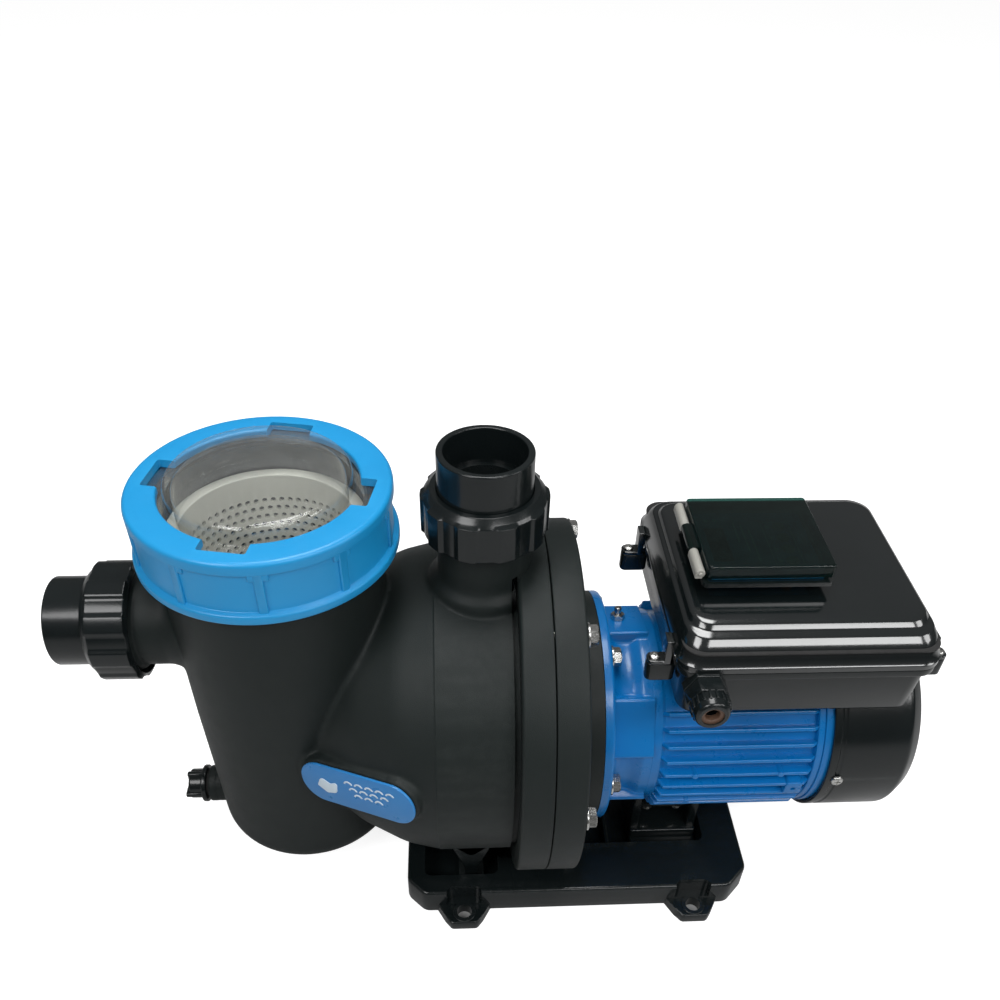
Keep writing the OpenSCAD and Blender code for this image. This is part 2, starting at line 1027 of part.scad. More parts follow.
module base_inner_plan() {
    polygon([[-124, -83], [-113, -94], [111, -94], [125, -80], [125, 80], [111, 94],
        [-113, 94], [-124, 83]]);
}

module lug_pad(s) {
    for (x = [-bolt_dx / 2, bolt_dx / 2])
        translate([x, s * bolt_dy / 2, 0])
        linear_extrude(9)
        polygon([[-22, -s * 14], [-13, s * 5], [-8, s * 9.5], [8, s * 9.5], [13, s * 5],
            [22, -s * 14]]);
}

module lug_pocket(s) {
    for (x = [-bolt_dx / 2, bolt_dx / 2])
        translate([x - 13, s > 0 ? 92 : -122, 9])
        cube([26, 30, 40]);
}

module base_frame() {
    color(gloss)
    difference() {
        union() {
            difference() {
                linear_extrude(rail_h)
                base_plan();
                translate([0, 0, -1])
                linear_extrude(rail_h - 3)
                base_inner_plan();
            }
            lug_pad(-1);
            lug_pad(1);
            // walls round the openings
            block([-56, -61, 0], [105, 61, rail_h]);
            block([-64, -72, 0], [4, 72, rail_h]);
            block([-119, -86, 0], [-52, 86, rail_h]);
            // pocket walls
            for (x = [-bolt_dx / 2, bolt_dx / 2], s = [-1, 1])
                translate([x - 16, s > 0 ? 89 : -97, 0])
                cube([32, 8, rail_h]);
        }
        block([-54, -57, 3], [101, 57, rail_h + 1]);
        block([-115, -82, 3], [-60, 82, rail_h + 1]);
        block([-61, -68, 3], [0, 68, rail_h + 1]);
        lug_pocket(-1);
        lug_pocket(1);
        for (x = [-bolt_dx / 2, bolt_dx / 2], y = [-bolt_dy / 2, bolt_dy / 2])
            post(x, y, -1, 12, bolt_hole_r);
    }
    // cross bars that carry the cradle and the motor foot
    color(gloss) {
        block([-90, -83, 0], [-70, 83, 10]);
        block([foot_x0, -58, 0], [foot_x1, 58, 12]);
    }
}

// two Y-shaped saddles and the bar between them
module volute_cradle() {
    color(gloss)
    difference() {
        union() {
            for (y = [-64, 76])
                translate([cradle_x, y, 10])
                rotate([90, 0, 0])
                linear_extrude(12)
                polygon([[-5, 0], [5, 0], [5, 14], [16, 44], [7, 44], [0, 26], [-7, 44],
                    [-16, 44], [-5, 14]]);
            block([cradle_x - 5, -66, 10], [cradle_x + 5, 66, 16]);
        }
        volute_cyl(-105, -55, volute_r + 0.1);
    }
}

module motor_foot() {
    color(gloss)
    difference() {
        union() {
            block([foot_x0, -44, 12], [foot_x1, 44, 20]);
            for (x = [foot_x0, foot_x1 - 7])
                block([x, -40, 12], [x + 7, 40, shaft_z - 53]);
            block([foot_x0, -4, 12], [foot_x1, 4, shaft_z - 71]);
            for (y = [-34, 18])
                block([foot_x0, y, shaft_z - 85], [foot_x1, y + 16, shaft_z - 55]);
        }
        shaft_cyl(40, 120, 77.1);
        for (x = foot_bolt_x, y = [-26, 26])
            post(x, y, 21, 90, 3.3);
    }
}

module foot_bolts() {
    color(steel)
    for (x = foot_bolt_x, y = [-26, 26]) {
        post(x, y, shaft_z - 89, shaft_z - 61, 3.2);
        post(x, y, shaft_z - 91, shaft_z - 85.1, 5.5);
    }
}

// ---- control box -----------------------------------------------------------------------------

module box_tray() {
    color(gloss)
    difference() {
        union() {
            rounded_slab(box_x0 + 5, box_x1 - 2, box_half_w - 5, tray_low_z,
                tray_top_z - tray_low_z - 5, 12);
            rounded_slab(box_x0 + 1, box_x1 - 1, box_half_w - 1, tray_top_z - 6, 6, 14);
            box_lugs(lug_top_z - 14, lug_top_z);
        }
        rounded_slab(box_x0 + 8, box_x1 - 7, box_half_w - 8, tray_low_z + 3, 60, 9);
        // wire hole and gland hole
        post(100, 0, 195, 230, 9);
        translate([gland_x, -60, gland_z])
        rotate([90, 0, 0])
        cylinder(h = 40, r = 8.1);
        box_lug_holes(1.9);
    }
    // posts under the circuit board
    color(gloss)
    for (x = [72, 190], y = [-56, 56])
        post(x, y, tray_low_z + 2, 221.95, 4);
    // saddle pad down to the motor frame
    color(gloss)
    difference() {
        intersection() {
            shaft_tube(62, 150, 92, 77.1);
            block([62, -30, shaft_z + 60], [150, 30, tray_low_z + 2]);
        }
        post(100, 0, 190, 230, 9);
    }
}

module box_lugs(z0, z1) {
    for (x = box_lug_x, y = [-56, 56]) {
        post(x, y, z0, z1, 5);
        translate([x < 100 ? x : x - 14, y - 5, z0])
        cube([14, 10, z1 - z0]);
    }
}

// tabs that hang from the cover onto the lugs of the tray
module cover_ears() {
    for (x = box_lug_x, y = [-56, 56]) {
        inward = x < 100 ? 1 : -1;
        post(x, y, lug_top_z + 0.05, lug_top_z + 2.5, 5);
        translate([x + inward * 4.9 - 4.95, y - 5, lug_top_z + 0.05])
        cube([9.9, 10, 2.45]);
        translate([x + inward * 7.6 - 2.2, y - 5, lug_top_z + 0.05])
        cube([4.4, 10, cover_low_z + 6 - lug_top_z]);
    }
}

module box_lug_holes(r) {
    for (x = box_lug_x, y = [-56, 56])
        post(x, y, lug_top_z - 20, lug_top_z + 10, r);
}

module box_gasket() {
    color(rubber)
    difference() {
        rounded_slab(box_x0 + 3, box_x1 - 3, box_half_w - 3, tray_top_z + 0.05, 0.9, 12);
        rounded_slab(box_x0 + 7, box_x1 - 7, box_half_w - 7, tray_top_z - 1, 4, 10);
    }
}

module cover_shape(grow) {
    g = grow;
    hull() {
        rounded_slab(box_x0 + g, box_x1 - g, box_half_w - g, cover_low_z, 8, 16);
        rounded_slab(box_x0 + 4 + g, box_x1 - 4 - g, box_half_w - 6 - g, cover_low_z + 14,
            1, 16);
        rounded_slab(box_x0 + 13 + g, box_x1 - 12 - g, box_half_w - 25 - g,
            box_top_z - 1 - g, 1, 12);
    }
}

module box_cover() {
    color(gloss)
    difference() {
        union() {
            cover_shape(0, $fn = 32);
            cover_ears();
        }
        translate([0, 0, -0.01])
        cover_shape(3.2, $fn = 32);
        // window for the panel
        panel_block(-4, box_top_z - 10, box_top_z + 5);
        panel_block(0.2, panel_z + 0.5, box_top_z + 5);
        box_lug_holes(2.3);
    }
    // inner rim that carries the panel
    color(gloss)
    difference() {
        panel_block(4, box_top_z - 6, box_top_z - 3);
        panel_block(-4, box_top_z - 10, box_top_z + 5);
    }
}

// block with the outline of the panel, grown all round
module panel_block(grow, z0, z1) {
    block([panel_x0 - grow, panel_mid_y - panel_half_w - grow, z0],
        [panel_x1 + grow, panel_mid_y + panel_half_w + grow, z1]);
}

module box_screws() {
    color(steel)
    for (x = box_lug_x, y = [-56, 56])
        translate([x, y, lug_top_z + 2.52])
        pan_screw(1.85, 14, 3.8, 2.2);
}

module circuit_board() {
    color([0.05, 0.30, 0.15])
    difference() {
        block([66, -62, 222], [196, 62, 223.6]);
        post(100, 0, 220, 226, 12);
    }
    color([0.6, 0.6, 0.62])
    for (i = [0:6])
        block([150, -30 + 9 * i, 223.5], [188, -27 + 9 * i, 240]);
    color([0.6, 0.6, 0.62])
    block([150, -30, 223.5], [188, 27, 227]);
    color(gloss)
    for (i = [0:2])
        block([78, -52 + 15 * i, 223.5], [92, -41 + 15 * i, 236]);
}

module capacitors() {
    color([0.10, 0.12, 0.20])
    for (x = [120, 140], y = [-44, 44])
        post(x, y, 223.65, 246, 8.5);
}

module control_panel() {
    color(ring_blue)
    difference() {
        panel_block(0, panel_z + 0.55, panel_z + 2.2);
        block([74, panel_mid_y - 18, panel_z - 1], [87, panel_mid_y + 18, panel_z + 5]);
        for (y = key_y)
            post(key_x, y, panel_z - 1, panel_z + 5, 4.3);
    }
}

module display() {
    color([0.06, 0.05, 0.05])
    block([74.1, panel_mid_y - 17.9, panel_z - 3], [86.9, panel_mid_y + 17.9, panel_z + 1.6]);
    color([0.75, 0.12, 0.10])
    for (i = [0:3])
        translate([80.5, panel_mid_y - 13.2 + 8.8 * i, panel_z + 1.5])
        digit();
}

// figure-of-eight digit lying in the panel, 0.4 high
module digit() {
    difference() {
        translate([-4.5, -2.8, 0])
        cube([9, 5.6, 0.4]);
        for (x = [-3.5, 0.5])
            translate([x, -1.8, -1])
            cube([3, 3.6, 3]);
    }
}

module key_cap(y) {
    color([0.80, 0.82, 0.84]) {
        post(key_x, y, panel_z + 0.9, panel_z + 3.2, 4.1);
        translate([key_x, y, panel_z + 3.15])
        cylinder(h = 0.8, r1 = 4.1, r2 = 2.8);
    }
}

module hinge_barrels() {
    color(pale)
    for (s = [-1, 1])
        translate([hinge_x, panel_mid_y + (s > 0 ? 13 : -36), hinge_z])
        rotate([-90, 0, 0]) {
            cylinder(h = 23, r = 3);
            translate([-3, 0, 0])
            cube([4.5, 3.1, 23]);
        }
    color(steel)
    translate([hinge_x, panel_mid_y - 37, hinge_z])
    rotate([-90, 0, 0])
    cylinder(h = 74, r = 1.2);
}

module flip_lid() {
    z0 = box_top_z + 0.3;
    x0 = hinge_x + 4;
    color(clear)
    translate([0, panel_mid_y, 0])
    difference() {
        block([x0, -37, z0], [x0 + 80, 37, z0 + 9]);
        block([x0 + 2.2, -34.8, z0 - 1], [x0 + 77.8, 34.8, z0 + 6.8]);
    }
    color(clear)
    translate([0, panel_mid_y, 0])
    difference() {
        union() {
            translate([hinge_x, -12.8, hinge_z])
            rotate([-90, 0, 0])
            cylinder(h = 25.6, r = 3);
            block([hinge_x, -12.8, hinge_z - 1], [x0 + 1, 12.8, hinge_z + 3]);
        }
        translate([hinge_x, -20, hinge_z])
        rotate([-90, 0, 0])
        cylinder(h = 40, r = 1.28);
    }
}

module gland_body() {
    color(gloss)
    translate([gland_x, -box_half_w + 5, gland_z])
    rotate([90, 0, 0])
    difference() {
        union() {
            translate([0, 0, -9])
            cylinder(h = 10, r = 8);
            translate([0, 0, 0.05])
            cylinder(h = 7, r = 14, $fn = 6);
            cylinder(h = 23, r = 9.5);
        }
        translate([0, 0, -10])
        cylinder(h = 40, r = 6.3);
    }
}

module gland_insert() {
    color([0.35, 0.24, 0.16])
    translate([gland_x, -box_half_w + 5, gland_z])
    rotate([90, 0, 0])
    translate([0, 0, 23.1])
    difference() {
        cylinder(h = 5, r = 8);
        translate([0, 0, -1])
        cylinder(h = 8, r = 4.4);
    }
}

module gland_nut() {
    color(gloss)
    translate([gland_x, -box_half_w + 5, gland_z])
    rotate([90, 0, 0])
    difference() {
        union() {
            translate([0, 0, 7.4])
            cylinder(h = 11, r = 13.9, $fn = 6);
            translate([0, 0, 7.4])
            cylinder(h = 17, r = 11.6);
            translate([0, 0, 24.3])
            cylinder(h = 5, r1 = 11.6, r2 = 9.8);
        }
        translate([0, 0, 7])
        cylinder(h = 16.1, r = 9.9);
        translate([0, 0, 7])
        cylinder(h = 21.2, r = 8.1);
        cylinder(h = 40, r = 7);
    }
}

// ---- draw --------------------------------------------------------------------------------------

pump_body();
rear_cover();
body_seal();
rim_bolts();
lock_ring();
clear_lid();
lid_seal();
strainer_basket();
inlet_tail();
inlet_nut();
inlet_seal();
discharge_tail();
discharge_nut();
discharge_seal();
drain_plug();
drain_seal();
badge();
diffuser();
impeller();
seal_seat();
seal_head();
motor_shaft();
rotor_core();
stator();
windings();
bearing_outers();
bearing_inners();
slinger();
cooling_fan();
front_shield();
flange_bolts();
earth_bolt();
motor_frame();
rear_shield();
fan_cover();
fan_cover_screws();
base_frame();
volute_cradle();
motor_foot();
foot_bolts();
box_tray();
box_gasket();
box_cover();
box_screws();
circuit_board();
capacitors();
control_panel();
display();
key_cap(key_y[0]);  // key_1
key_cap(key_y[1]);  // key_2
key_cap(key_y[2]);  // key_3
key_cap(key_y[3]);  // key_4
hinge_barrels();
flip_lid();
gland_body();
gland_insert();
gland_nut();
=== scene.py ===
import json
import math

import bmesh
import bpy
from mathutils import Matrix, Vector


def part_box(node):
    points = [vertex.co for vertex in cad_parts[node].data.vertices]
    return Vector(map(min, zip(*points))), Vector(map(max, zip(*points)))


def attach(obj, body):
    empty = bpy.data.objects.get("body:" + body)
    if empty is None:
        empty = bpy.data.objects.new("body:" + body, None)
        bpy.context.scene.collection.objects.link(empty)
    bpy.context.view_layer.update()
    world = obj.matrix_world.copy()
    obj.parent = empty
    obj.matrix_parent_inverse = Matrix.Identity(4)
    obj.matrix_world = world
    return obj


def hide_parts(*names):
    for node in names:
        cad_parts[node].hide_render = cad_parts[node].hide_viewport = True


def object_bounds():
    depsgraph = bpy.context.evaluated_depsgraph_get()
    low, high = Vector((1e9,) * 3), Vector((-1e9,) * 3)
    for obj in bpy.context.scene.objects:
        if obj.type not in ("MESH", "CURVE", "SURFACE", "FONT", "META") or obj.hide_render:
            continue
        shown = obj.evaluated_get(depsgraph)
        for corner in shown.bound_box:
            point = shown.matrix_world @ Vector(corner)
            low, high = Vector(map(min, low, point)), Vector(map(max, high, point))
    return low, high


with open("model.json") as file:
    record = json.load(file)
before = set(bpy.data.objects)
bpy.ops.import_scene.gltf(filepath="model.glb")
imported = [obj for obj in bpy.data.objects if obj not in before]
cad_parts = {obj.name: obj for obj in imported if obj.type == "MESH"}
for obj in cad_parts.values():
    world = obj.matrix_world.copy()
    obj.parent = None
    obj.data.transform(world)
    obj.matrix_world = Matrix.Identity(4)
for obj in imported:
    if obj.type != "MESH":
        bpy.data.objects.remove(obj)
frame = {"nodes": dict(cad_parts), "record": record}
CAD_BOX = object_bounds()

MM = 0.001
TAU = math.tau
X, Y, Z = Vector((1, 0, 0)), Vector((0, 1, 0)), Vector((0, 0, 1))


# ---- places, read from the CAD in millimetres ----

def low(node, axis):
    """Lower face of a node's box along an axis, in millimetres."""
    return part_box(node)[0][axis] / MM


def high(node, axis):
    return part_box(node)[1][axis] / MM


def mid(node, axis):
    return (low(node, axis) + high(node, axis)) / 2


def half(node, axis):
    return (high(node, axis) - low(node, axis)) / 2


POT_X = mid("clear_lid", 0)
POT_R = half("clear_lid", 0) + 0.6
POT_BORE = POT_R - 7
POT_TOP = high("lock_ring", 2) - 13
RING_R = half("lock_ring", 0)
RING_LOW = low("lock_ring", 2)
RING_TOP = high("lock_ring", 2)
LID_LOW = POT_TOP + 2.9
VOLUTE_Z = mid("rear_cover", 2)
RIM_R = half("rear_cover", 2)
SHAFT_Z = mid("motor_shaft", 2)
DISCHARGE_X = mid("discharge_tail", 0)
SUCTION_Z = mid("inlet_tail", 2)
DISCHARGE_FACE = low("discharge_tail", 2) - 1.95
SUCTION_FACE = high("inlet_tail", 0) + 1.95
DRAIN_Z = mid("drain_seal", 2)
DRAIN_FACE = high("drain_seal", 0)
FRAME_X0, FRAME_X1 = low("motor_frame", 0), high("motor_frame", 0)
FAN_X0, FAN_X1 = low("fan_cover", 0), high("fan_cover", 0)
FAN_R = half("fan_cover", 1)
BOX_LEFT, BOX_RIGHT = low("box_gasket", 0) - 3, high("box_gasket", 0) + 3
BOX_Y = half("box_gasket", 1) + 3
BOX_TOP = high("control_panel", 2) + 1.3
COVER_LOW = low("box_cover", 2)
TRAY_LOW = COVER_LOW - 42
SEAM_X = -29
RIM_FRONT, RIM_BACK = SEAM_X - 21, SEAM_X + 21


# ---- mesh helpers ----

def make_object(bm, sharp=38):
    bmesh.ops.recalc_face_normals(bm, faces=bm.faces)
    mesh = bpy.data.meshes.new("solid")
    bm.to_mesh(mesh)
    bm.free()
    obj = bpy.data.objects.new("solid", mesh)
    bpy.context.collection.objects.link(obj)
    return set_sharp(obj, sharp)


def set_sharp(obj, degrees=38):
    obj.data.shade_smooth()
    obj.data.set_sharp_from_angle(angle=math.radians(degrees))
    return obj


def rounded(points, closed=True, steps=5):
    """Corners given as (u, v) or (u, v, radius), turned into a smooth outline."""
    out = []
    last = len(points) - 1
    for i, point in enumerate(points):
        radius = point[2] if len(point) > 2 else 0
        here = Vector(point[:2])
        if not radius or (not closed and i in (0, last)):
            out.append(tuple(here))
            continue
        back = Vector(points[i - 1][:2]) - here
        on = Vector(points[(i + 1) % len(points)][:2]) - here
        half_angle = back.angle(on) / 2
        cut = min(radius / math.tan(half_angle), back.length * 0.49, on.length * 0.49)
        radius = cut * math.tan(half_angle)
        centre = here + (back.normalized() + on.normalized()).normalized() * (
            radius / math.sin(half_angle))
        first = here + back.normalized() * cut - centre
        final = here + on.normalized() * cut - centre
        start = math.atan2(first.y, first.x)
        sweep = (math.atan2(final.y, final.x) - start + math.pi) % TAU - math.pi
        for k in range(steps + 1):
            a = start + sweep * k / steps
            out.append((centre.x + radius * math.cos(a), centre.y + radius * math.sin(a)))
    return out


def frame_at(origin, axis, spin=0):
    """Matrix whose local Z lies along the axis."""
    turn = Vector(axis).to_track_quat("Z", "Y").to_matrix().to_4x4()
    return Matrix.Translation(origin) @ turn @ Matrix.Rotation(math.radians(spin), 4, "Z")


def at(x, y, z=0):
    """Matrix that moves to a place in millimetres."""
    return Matrix.Translation((x, y, z))


def polar(radius, degrees):
    a = math.radians(degrees)
    return radius * math.cos(a), radius * math.sin(a)


def spin(degrees, axis="Z"):
    return Matrix.Rotation(math.radians(degrees), 4, axis)


def lathe(profile, place=Matrix(), steps=144, closed=True, ripple=None):
    """Outline of (radius, height) points turned about local Z."""
    bm = bmesh.new()
    place = Matrix.Scale(MM, 4) @ place
    rings = []
    for r, h in profile:
        ring = []
        for k in range(steps):
            a = TAU * k / steps
            rr = r + (ripple(a, r, h) if ripple else 0)
            ring.append(bm.verts.new(place @ Vector((rr * math.cos(a), rr * math.sin(a), h))))
        rings.append(ring)
    onward = rings[1:] + (rings[:1] if closed else [])
    for inner, outer in zip(rings, onward):
        for k in range(steps):
            j = (k + 1) % steps
            bm.faces.new((inner[k], inner[j], outer[j], outer[k]))
    bmesh.ops.remove_doubles(bm, verts=bm.verts, dist=0.000001)
    return make_object(bm)


def solid_lathe(profile, place=Matrix(), steps=144):
    """Solid of turning whose profile starts and ends on the axis."""
    return lathe(profile, place, steps, closed=False)


def turned(profile, place=Matrix(), steps=144, arc=5):
    """Solid of turning with rounded corners; the profile starts and ends on the axis."""
    return solid_lathe(rounded(profile, closed=False, steps=arc), place, steps)


def turned_ring(profile, place=Matrix(), steps=144, ripple=None):
    """Ring with rounded corners, from a closed profile clear of the axis."""
    return lathe(rounded(profile), place, steps, ripple=ripple)


def rod(r, h0, h1, place=Matrix(), edge=0.0, steps=64):
    """Round bar along local Z with both rims rounded."""
    outline = rounded([(0, h0), (r, h0, edge), (r, h1, edge), (0, h1)], closed=False, steps=4)
    return solid_lathe(outline, place, steps)


def prism(outline, h0, h1, place=Matrix(), edge=0.0, segments=3):
    """Flat outline raised along local Z, with both rims rounded."""
    bm = bmesh.new()
    face = bm.faces.new([bm.verts.new((u, v, h0)) for u, v in outline])
    raised = bmesh.ops.extrude_face_region(bm, geom=[face])["geom"]
    for v in (g for g in raised if isinstance(g, bmesh.types.BMVert)):
        v.co.z = h1
    if edge:
        rims = [e for e in bm.edges if abs(e.verts[0].co.z - e.verts[1].co.z) < 1e-6]
        bmesh.ops.bevel(bm, geom=rims, offset=edge, segments=segments, profile=0.5,
                        affect="EDGES", clamp_overlap=True)
    bmesh.ops.transform(bm, matrix=Matrix.Scale(MM, 4) @ place, verts=bm.verts)
    return make_object(bm)


def rectangle(x0, x1, y0, y1, corner=0.0, steps=6):
    return rounded([(x0, y0, corner), (x1, y0, corner), (x1, y1, corner), (x0, y1, corner)],
                   steps=steps)


def slab(x0, x1, y0, y1, z0, z1, corner=0.0, edge=0.0, place=Matrix()):
    """Block with rounded corners in plan and rounded rims."""
    return prism(rectangle(x0, x1, y0, y1, corner), z0, z1, place, edge)


def loft(sections):
    """Closed skin through outlines of equal length, each given with its height."""
    bm = bmesh.new()
    rings = [[bm.verts.new((x * MM, y * MM, z * MM)) for x, y in outline]
             for z, outline in sections]
    count = len(rings[0])
    for lower, upper in zip(rings, rings[1:]):
        for k in range(count):
            j = (k + 1) % count
            bm.faces.new((lower[k], lower[j], upper[j], upper[k]))
    bm.faces.new(list(reversed(rings[0])))
    bm.faces.new(rings[-1])
    return make_object(bm)


def apply_modifiers(obj):
    graph = bpy.context.evaluated_depsgraph_get()
    mesh = bpy.data.meshes.new_from_object(obj.evaluated_get(graph))
    obj.modifiers.clear()
    old = obj.data
    obj.data = mesh
    bpy.data.meshes.remove(old)
    return obj


def combine(obj, other, operation):
    """Boolean of two closed meshes; the second is used up."""
    mod = obj.modifiers.new("combine", "BOOLEAN")
    mod.operation = operation
    mod.solver = "MANIFOLD"
    mod.object = other
    apply_modifiers(obj)
    bpy.data.objects.remove(other)
    return obj


def fuse(solids, cuts=(), sharp=38):
    """One skin round all the solids, less the cuts."""
    body = solids[0]
    for other in solids[1:]:
        combine(body, other, "UNION")
    for other in cuts:
        combine(body, other, "DIFFERENCE")
    return set_sharp(body, sharp)


def gather(objects):
    """Separate closed shells kept together in one mesh."""
    bm = bmesh.new()
    for obj in objects:
        bm.from_mesh(obj.data)
        bpy.data.objects.remove(obj)
    return make_object(bm)


def soften(obj, voxel, passes):
    """Remesh overlapping shells into one skin and relax it, as moulded corners are."""
    mod = obj.modifiers.new("skin", "REMESH")
    mod.mode = "VOXEL"
    mod.voxel_size = voxel * MM
    relax = obj.modifiers.new("relax", "SMOOTH")
    relax.factor = 0.5
    relax.iterations = passes
    apply_modifiers(obj)
    return set_sharp(obj, 60)


def around(count, start=0.0):
    """Evenly spaced angles in degrees."""
    return [start + 360 * i / count for i in range(count)]


def about_axis(angle, radius, x, z):
    """Place on a circle about an axis along X: 0 faces the front, 90 faces up."""
    a = math.radians(angle)
    out = Vector((0, -math.cos(a), math.sin(a)))
    place = Matrix((X, out.cross(X), out)).transposed().to_4x4()
    return at(x, radius * out.y, z + radius * out.z) @ place


def piece(obj, name, body, slot, *nodes, finish=None):
    """Dress a finished mesh, let it ride its body and hide the CAD nodes it replaces."""
    obj.name = name
    obj.data.name = name
    obj.data.materials.clear()
    obj.data.materials.append(MAT[finish or slot])
    for p in obj.data.polygons:
        p.material_index = 0
    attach(obj, body)
    if nodes:
        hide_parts(*nodes)
    return obj


# ---- materials ----

def node_of(tree, kind, **values):
    n = tree.nodes.new("ShaderNode" + kind)
    for key, value in values.items():
        setattr(n, key, value)
    return n


def noise(tree, coords, scale, detail=3.0, rough=0.5):
    n = node_of(tree, "TexNoise")
    n.inputs["Scale"].default_value = scale
    n.inputs["Detail"].default_value = detail
    n.inputs["Roughness"].default_value = rough
    tree.links.new(coords, n.inputs["Vector"])
    return n.outputs["Fac"]


def spread(tree, fac, to_low, to_high, from_low=0.3, from_high=0.7):
    n = node_of(tree, "MapRange")
    n.inputs["From Min"].default_value = from_low
    n.inputs["From Max"].default_value = from_high
    n.inputs["To Min"].default_value = to_low
    n.inputs["To Max"].default_value = to_high
    tree.links.new(fac, n.inputs["Value"])
    return n.outputs["Result"]


def blend_colour(tree, fac, a, b):
    n = node_of(tree, "Mix", data_type="RGBA")
    tree.links.new(fac, n.inputs[0])
    if isinstance(a, tuple):
        n.inputs[6].default_value = (*a, 1)
    else:
        tree.links.new(a, n.inputs[6])
    n.inputs[7].default_value = (*b, 1)
    return n.outputs[2]


def bump_from(tree, height, strength, distance, under=None):
    n = node_of(tree, "Bump")
    n.inputs["Strength"].default_value = strength
    n.inputs["Distance"].default_value = distance
    tree.links.new(height, n.inputs["Height"])
    if under:
        tree.links.new(under, n.inputs["Normal"])
    return n.outputs["Normal"]


def finish_material(name, base, dust, rough, grain=0.05, grain_scale=1800.0, wave=0.0,
                    metallic=0.0, coat=0.0, streak=None, rubbed=None, sheen=0.5, uneven=0.2):
    """Moulded, painted or machined finish.

    base drifts towards dust in soft patches, roughness is uneven, rubbed is the colour of
    worn edges, grain is the fine surface texture and wave a slow orange peel."""
    m = bpy.data.materials.new(name)
    m.use_nodes = True
    t = m.node_tree
    p = t.nodes["Principled BSDF"]
    co = node_of(t, "TexCoord").outputs["Object"]
    if streak:
        mapping = node_of(t, "Mapping")
        mapping.inputs["Scale"].default_value = streak
        t.links.new(co, mapping.inputs["Vector"])
        co = mapping.outputs["Vector"]
    cloud = noise(t, co, 22.0, 6.0, 0.62)
    colour = blend_colour(t, spread(t, cloud, 0.0, 0.6), base, dust)
    if rubbed:
        edge = node_of(t, "NewGeometry").outputs["Pointiness"]
        patchy = noise(t, co, 130.0, 5.0, 0.7)
        product = node_of(t, "Math", operation="MULTIPLY")
        t.links.new(spread(t, edge, 0.0, 0.7, 0.52, 0.62), product.inputs[0])
        t.links.new(spread(t, patchy, 0.1, 1.0), product.inputs[1])
        colour = blend_colour(t, product.outputs[0], colour, rubbed)
    t.links.new(colour, p.inputs["Base Color"])
    polish = noise(t, co, 60.0, 8.0, 0.7)
    t.links.new(spread(t, polish, rough * (1 - uneven), rough * (1 + uneven)),
                p.inputs["Roughness"])
    normal = bump_from(t, noise(t, co, grain_scale, 2.0), grain, 0.0004)
    if wave:
        normal = bump_from(t, noise(t, co, 190.0, 2.0), wave, 0.0008, normal)
    t.links.new(normal, p.inputs["Normal"])
    p.inputs["Metallic"].default_value = metallic
    p.inputs["Specular IOR Level"].default_value = sheen
    p.inputs["Coat Weight"].default_value = coat
    p.inputs["Coat Roughness"].default_value = 0.12
    return m


def clear_material(name, tint, film, haze, rough=0.06):
    """Thin clear plastic: tinted light passes through, more is mirrored at a slant.

    film is the mirror share seen square on and haze the share of cloudy, scuffed surface."""
    m = finish_material(name, tint, tuple(0.8 * c for c in tint), rough, grain=0.02,
                        grain_scale=400.0)
    t = m.node_tree
    p = t.nodes["Principled BSDF"]
    through = node_of(t, "BsdfTransparent")
    through.inputs["Color"].default_value = (*tint, 1)
    facing = node_of(t, "LayerWeight")
    facing.inputs["Blend"].default_value = 0.5
    steep = node_of(t, "Math", operation="POWER")
    steep.inputs[1].default_value = 4.0
    t.links.new(facing.outputs["Facing"], steep.inputs[0])
    mirror = node_of(t, "Math", operation="MULTIPLY_ADD", use_clamp=True)
    mirror.inputs[1].default_value = 0.8
    mirror.inputs[2].default_value = film
    t.links.new(steep.outputs[0], mirror.inputs[0])
    gloss = node_of(t, "BsdfGlossy")
    gloss.inputs["Color"].default_value = (1, 1, 1, 1)
    gloss.inputs["Roughness"].default_value = rough
    coated = node_of(t, "MixShader")
    t.links.new(mirror.outputs[0], coated.inputs[0])
    t.links.new(through.outputs["BSDF"], coated.inputs[1])
    t.links.new(gloss.outputs["BSDF"], coated.inputs[2])
    scuff = noise(t, node_of(t, "TexCoord").outputs["Object"], 90.0, 8.0, 0.75)
    mix = node_of(t, "MixShader")
    t.links.new(spread(t, scuff, haze * 0.6, haze * 1.4), mix.inputs[0])
    t.links.new(coated.outputs["Shader"], mix.inputs[1])
    t.links.new(p.outputs["BSDF"], mix.inputs[2])
    t.links.new(mix.outputs["Shader"], t.nodes["Material Output"].inputs["Surface"])
    return m


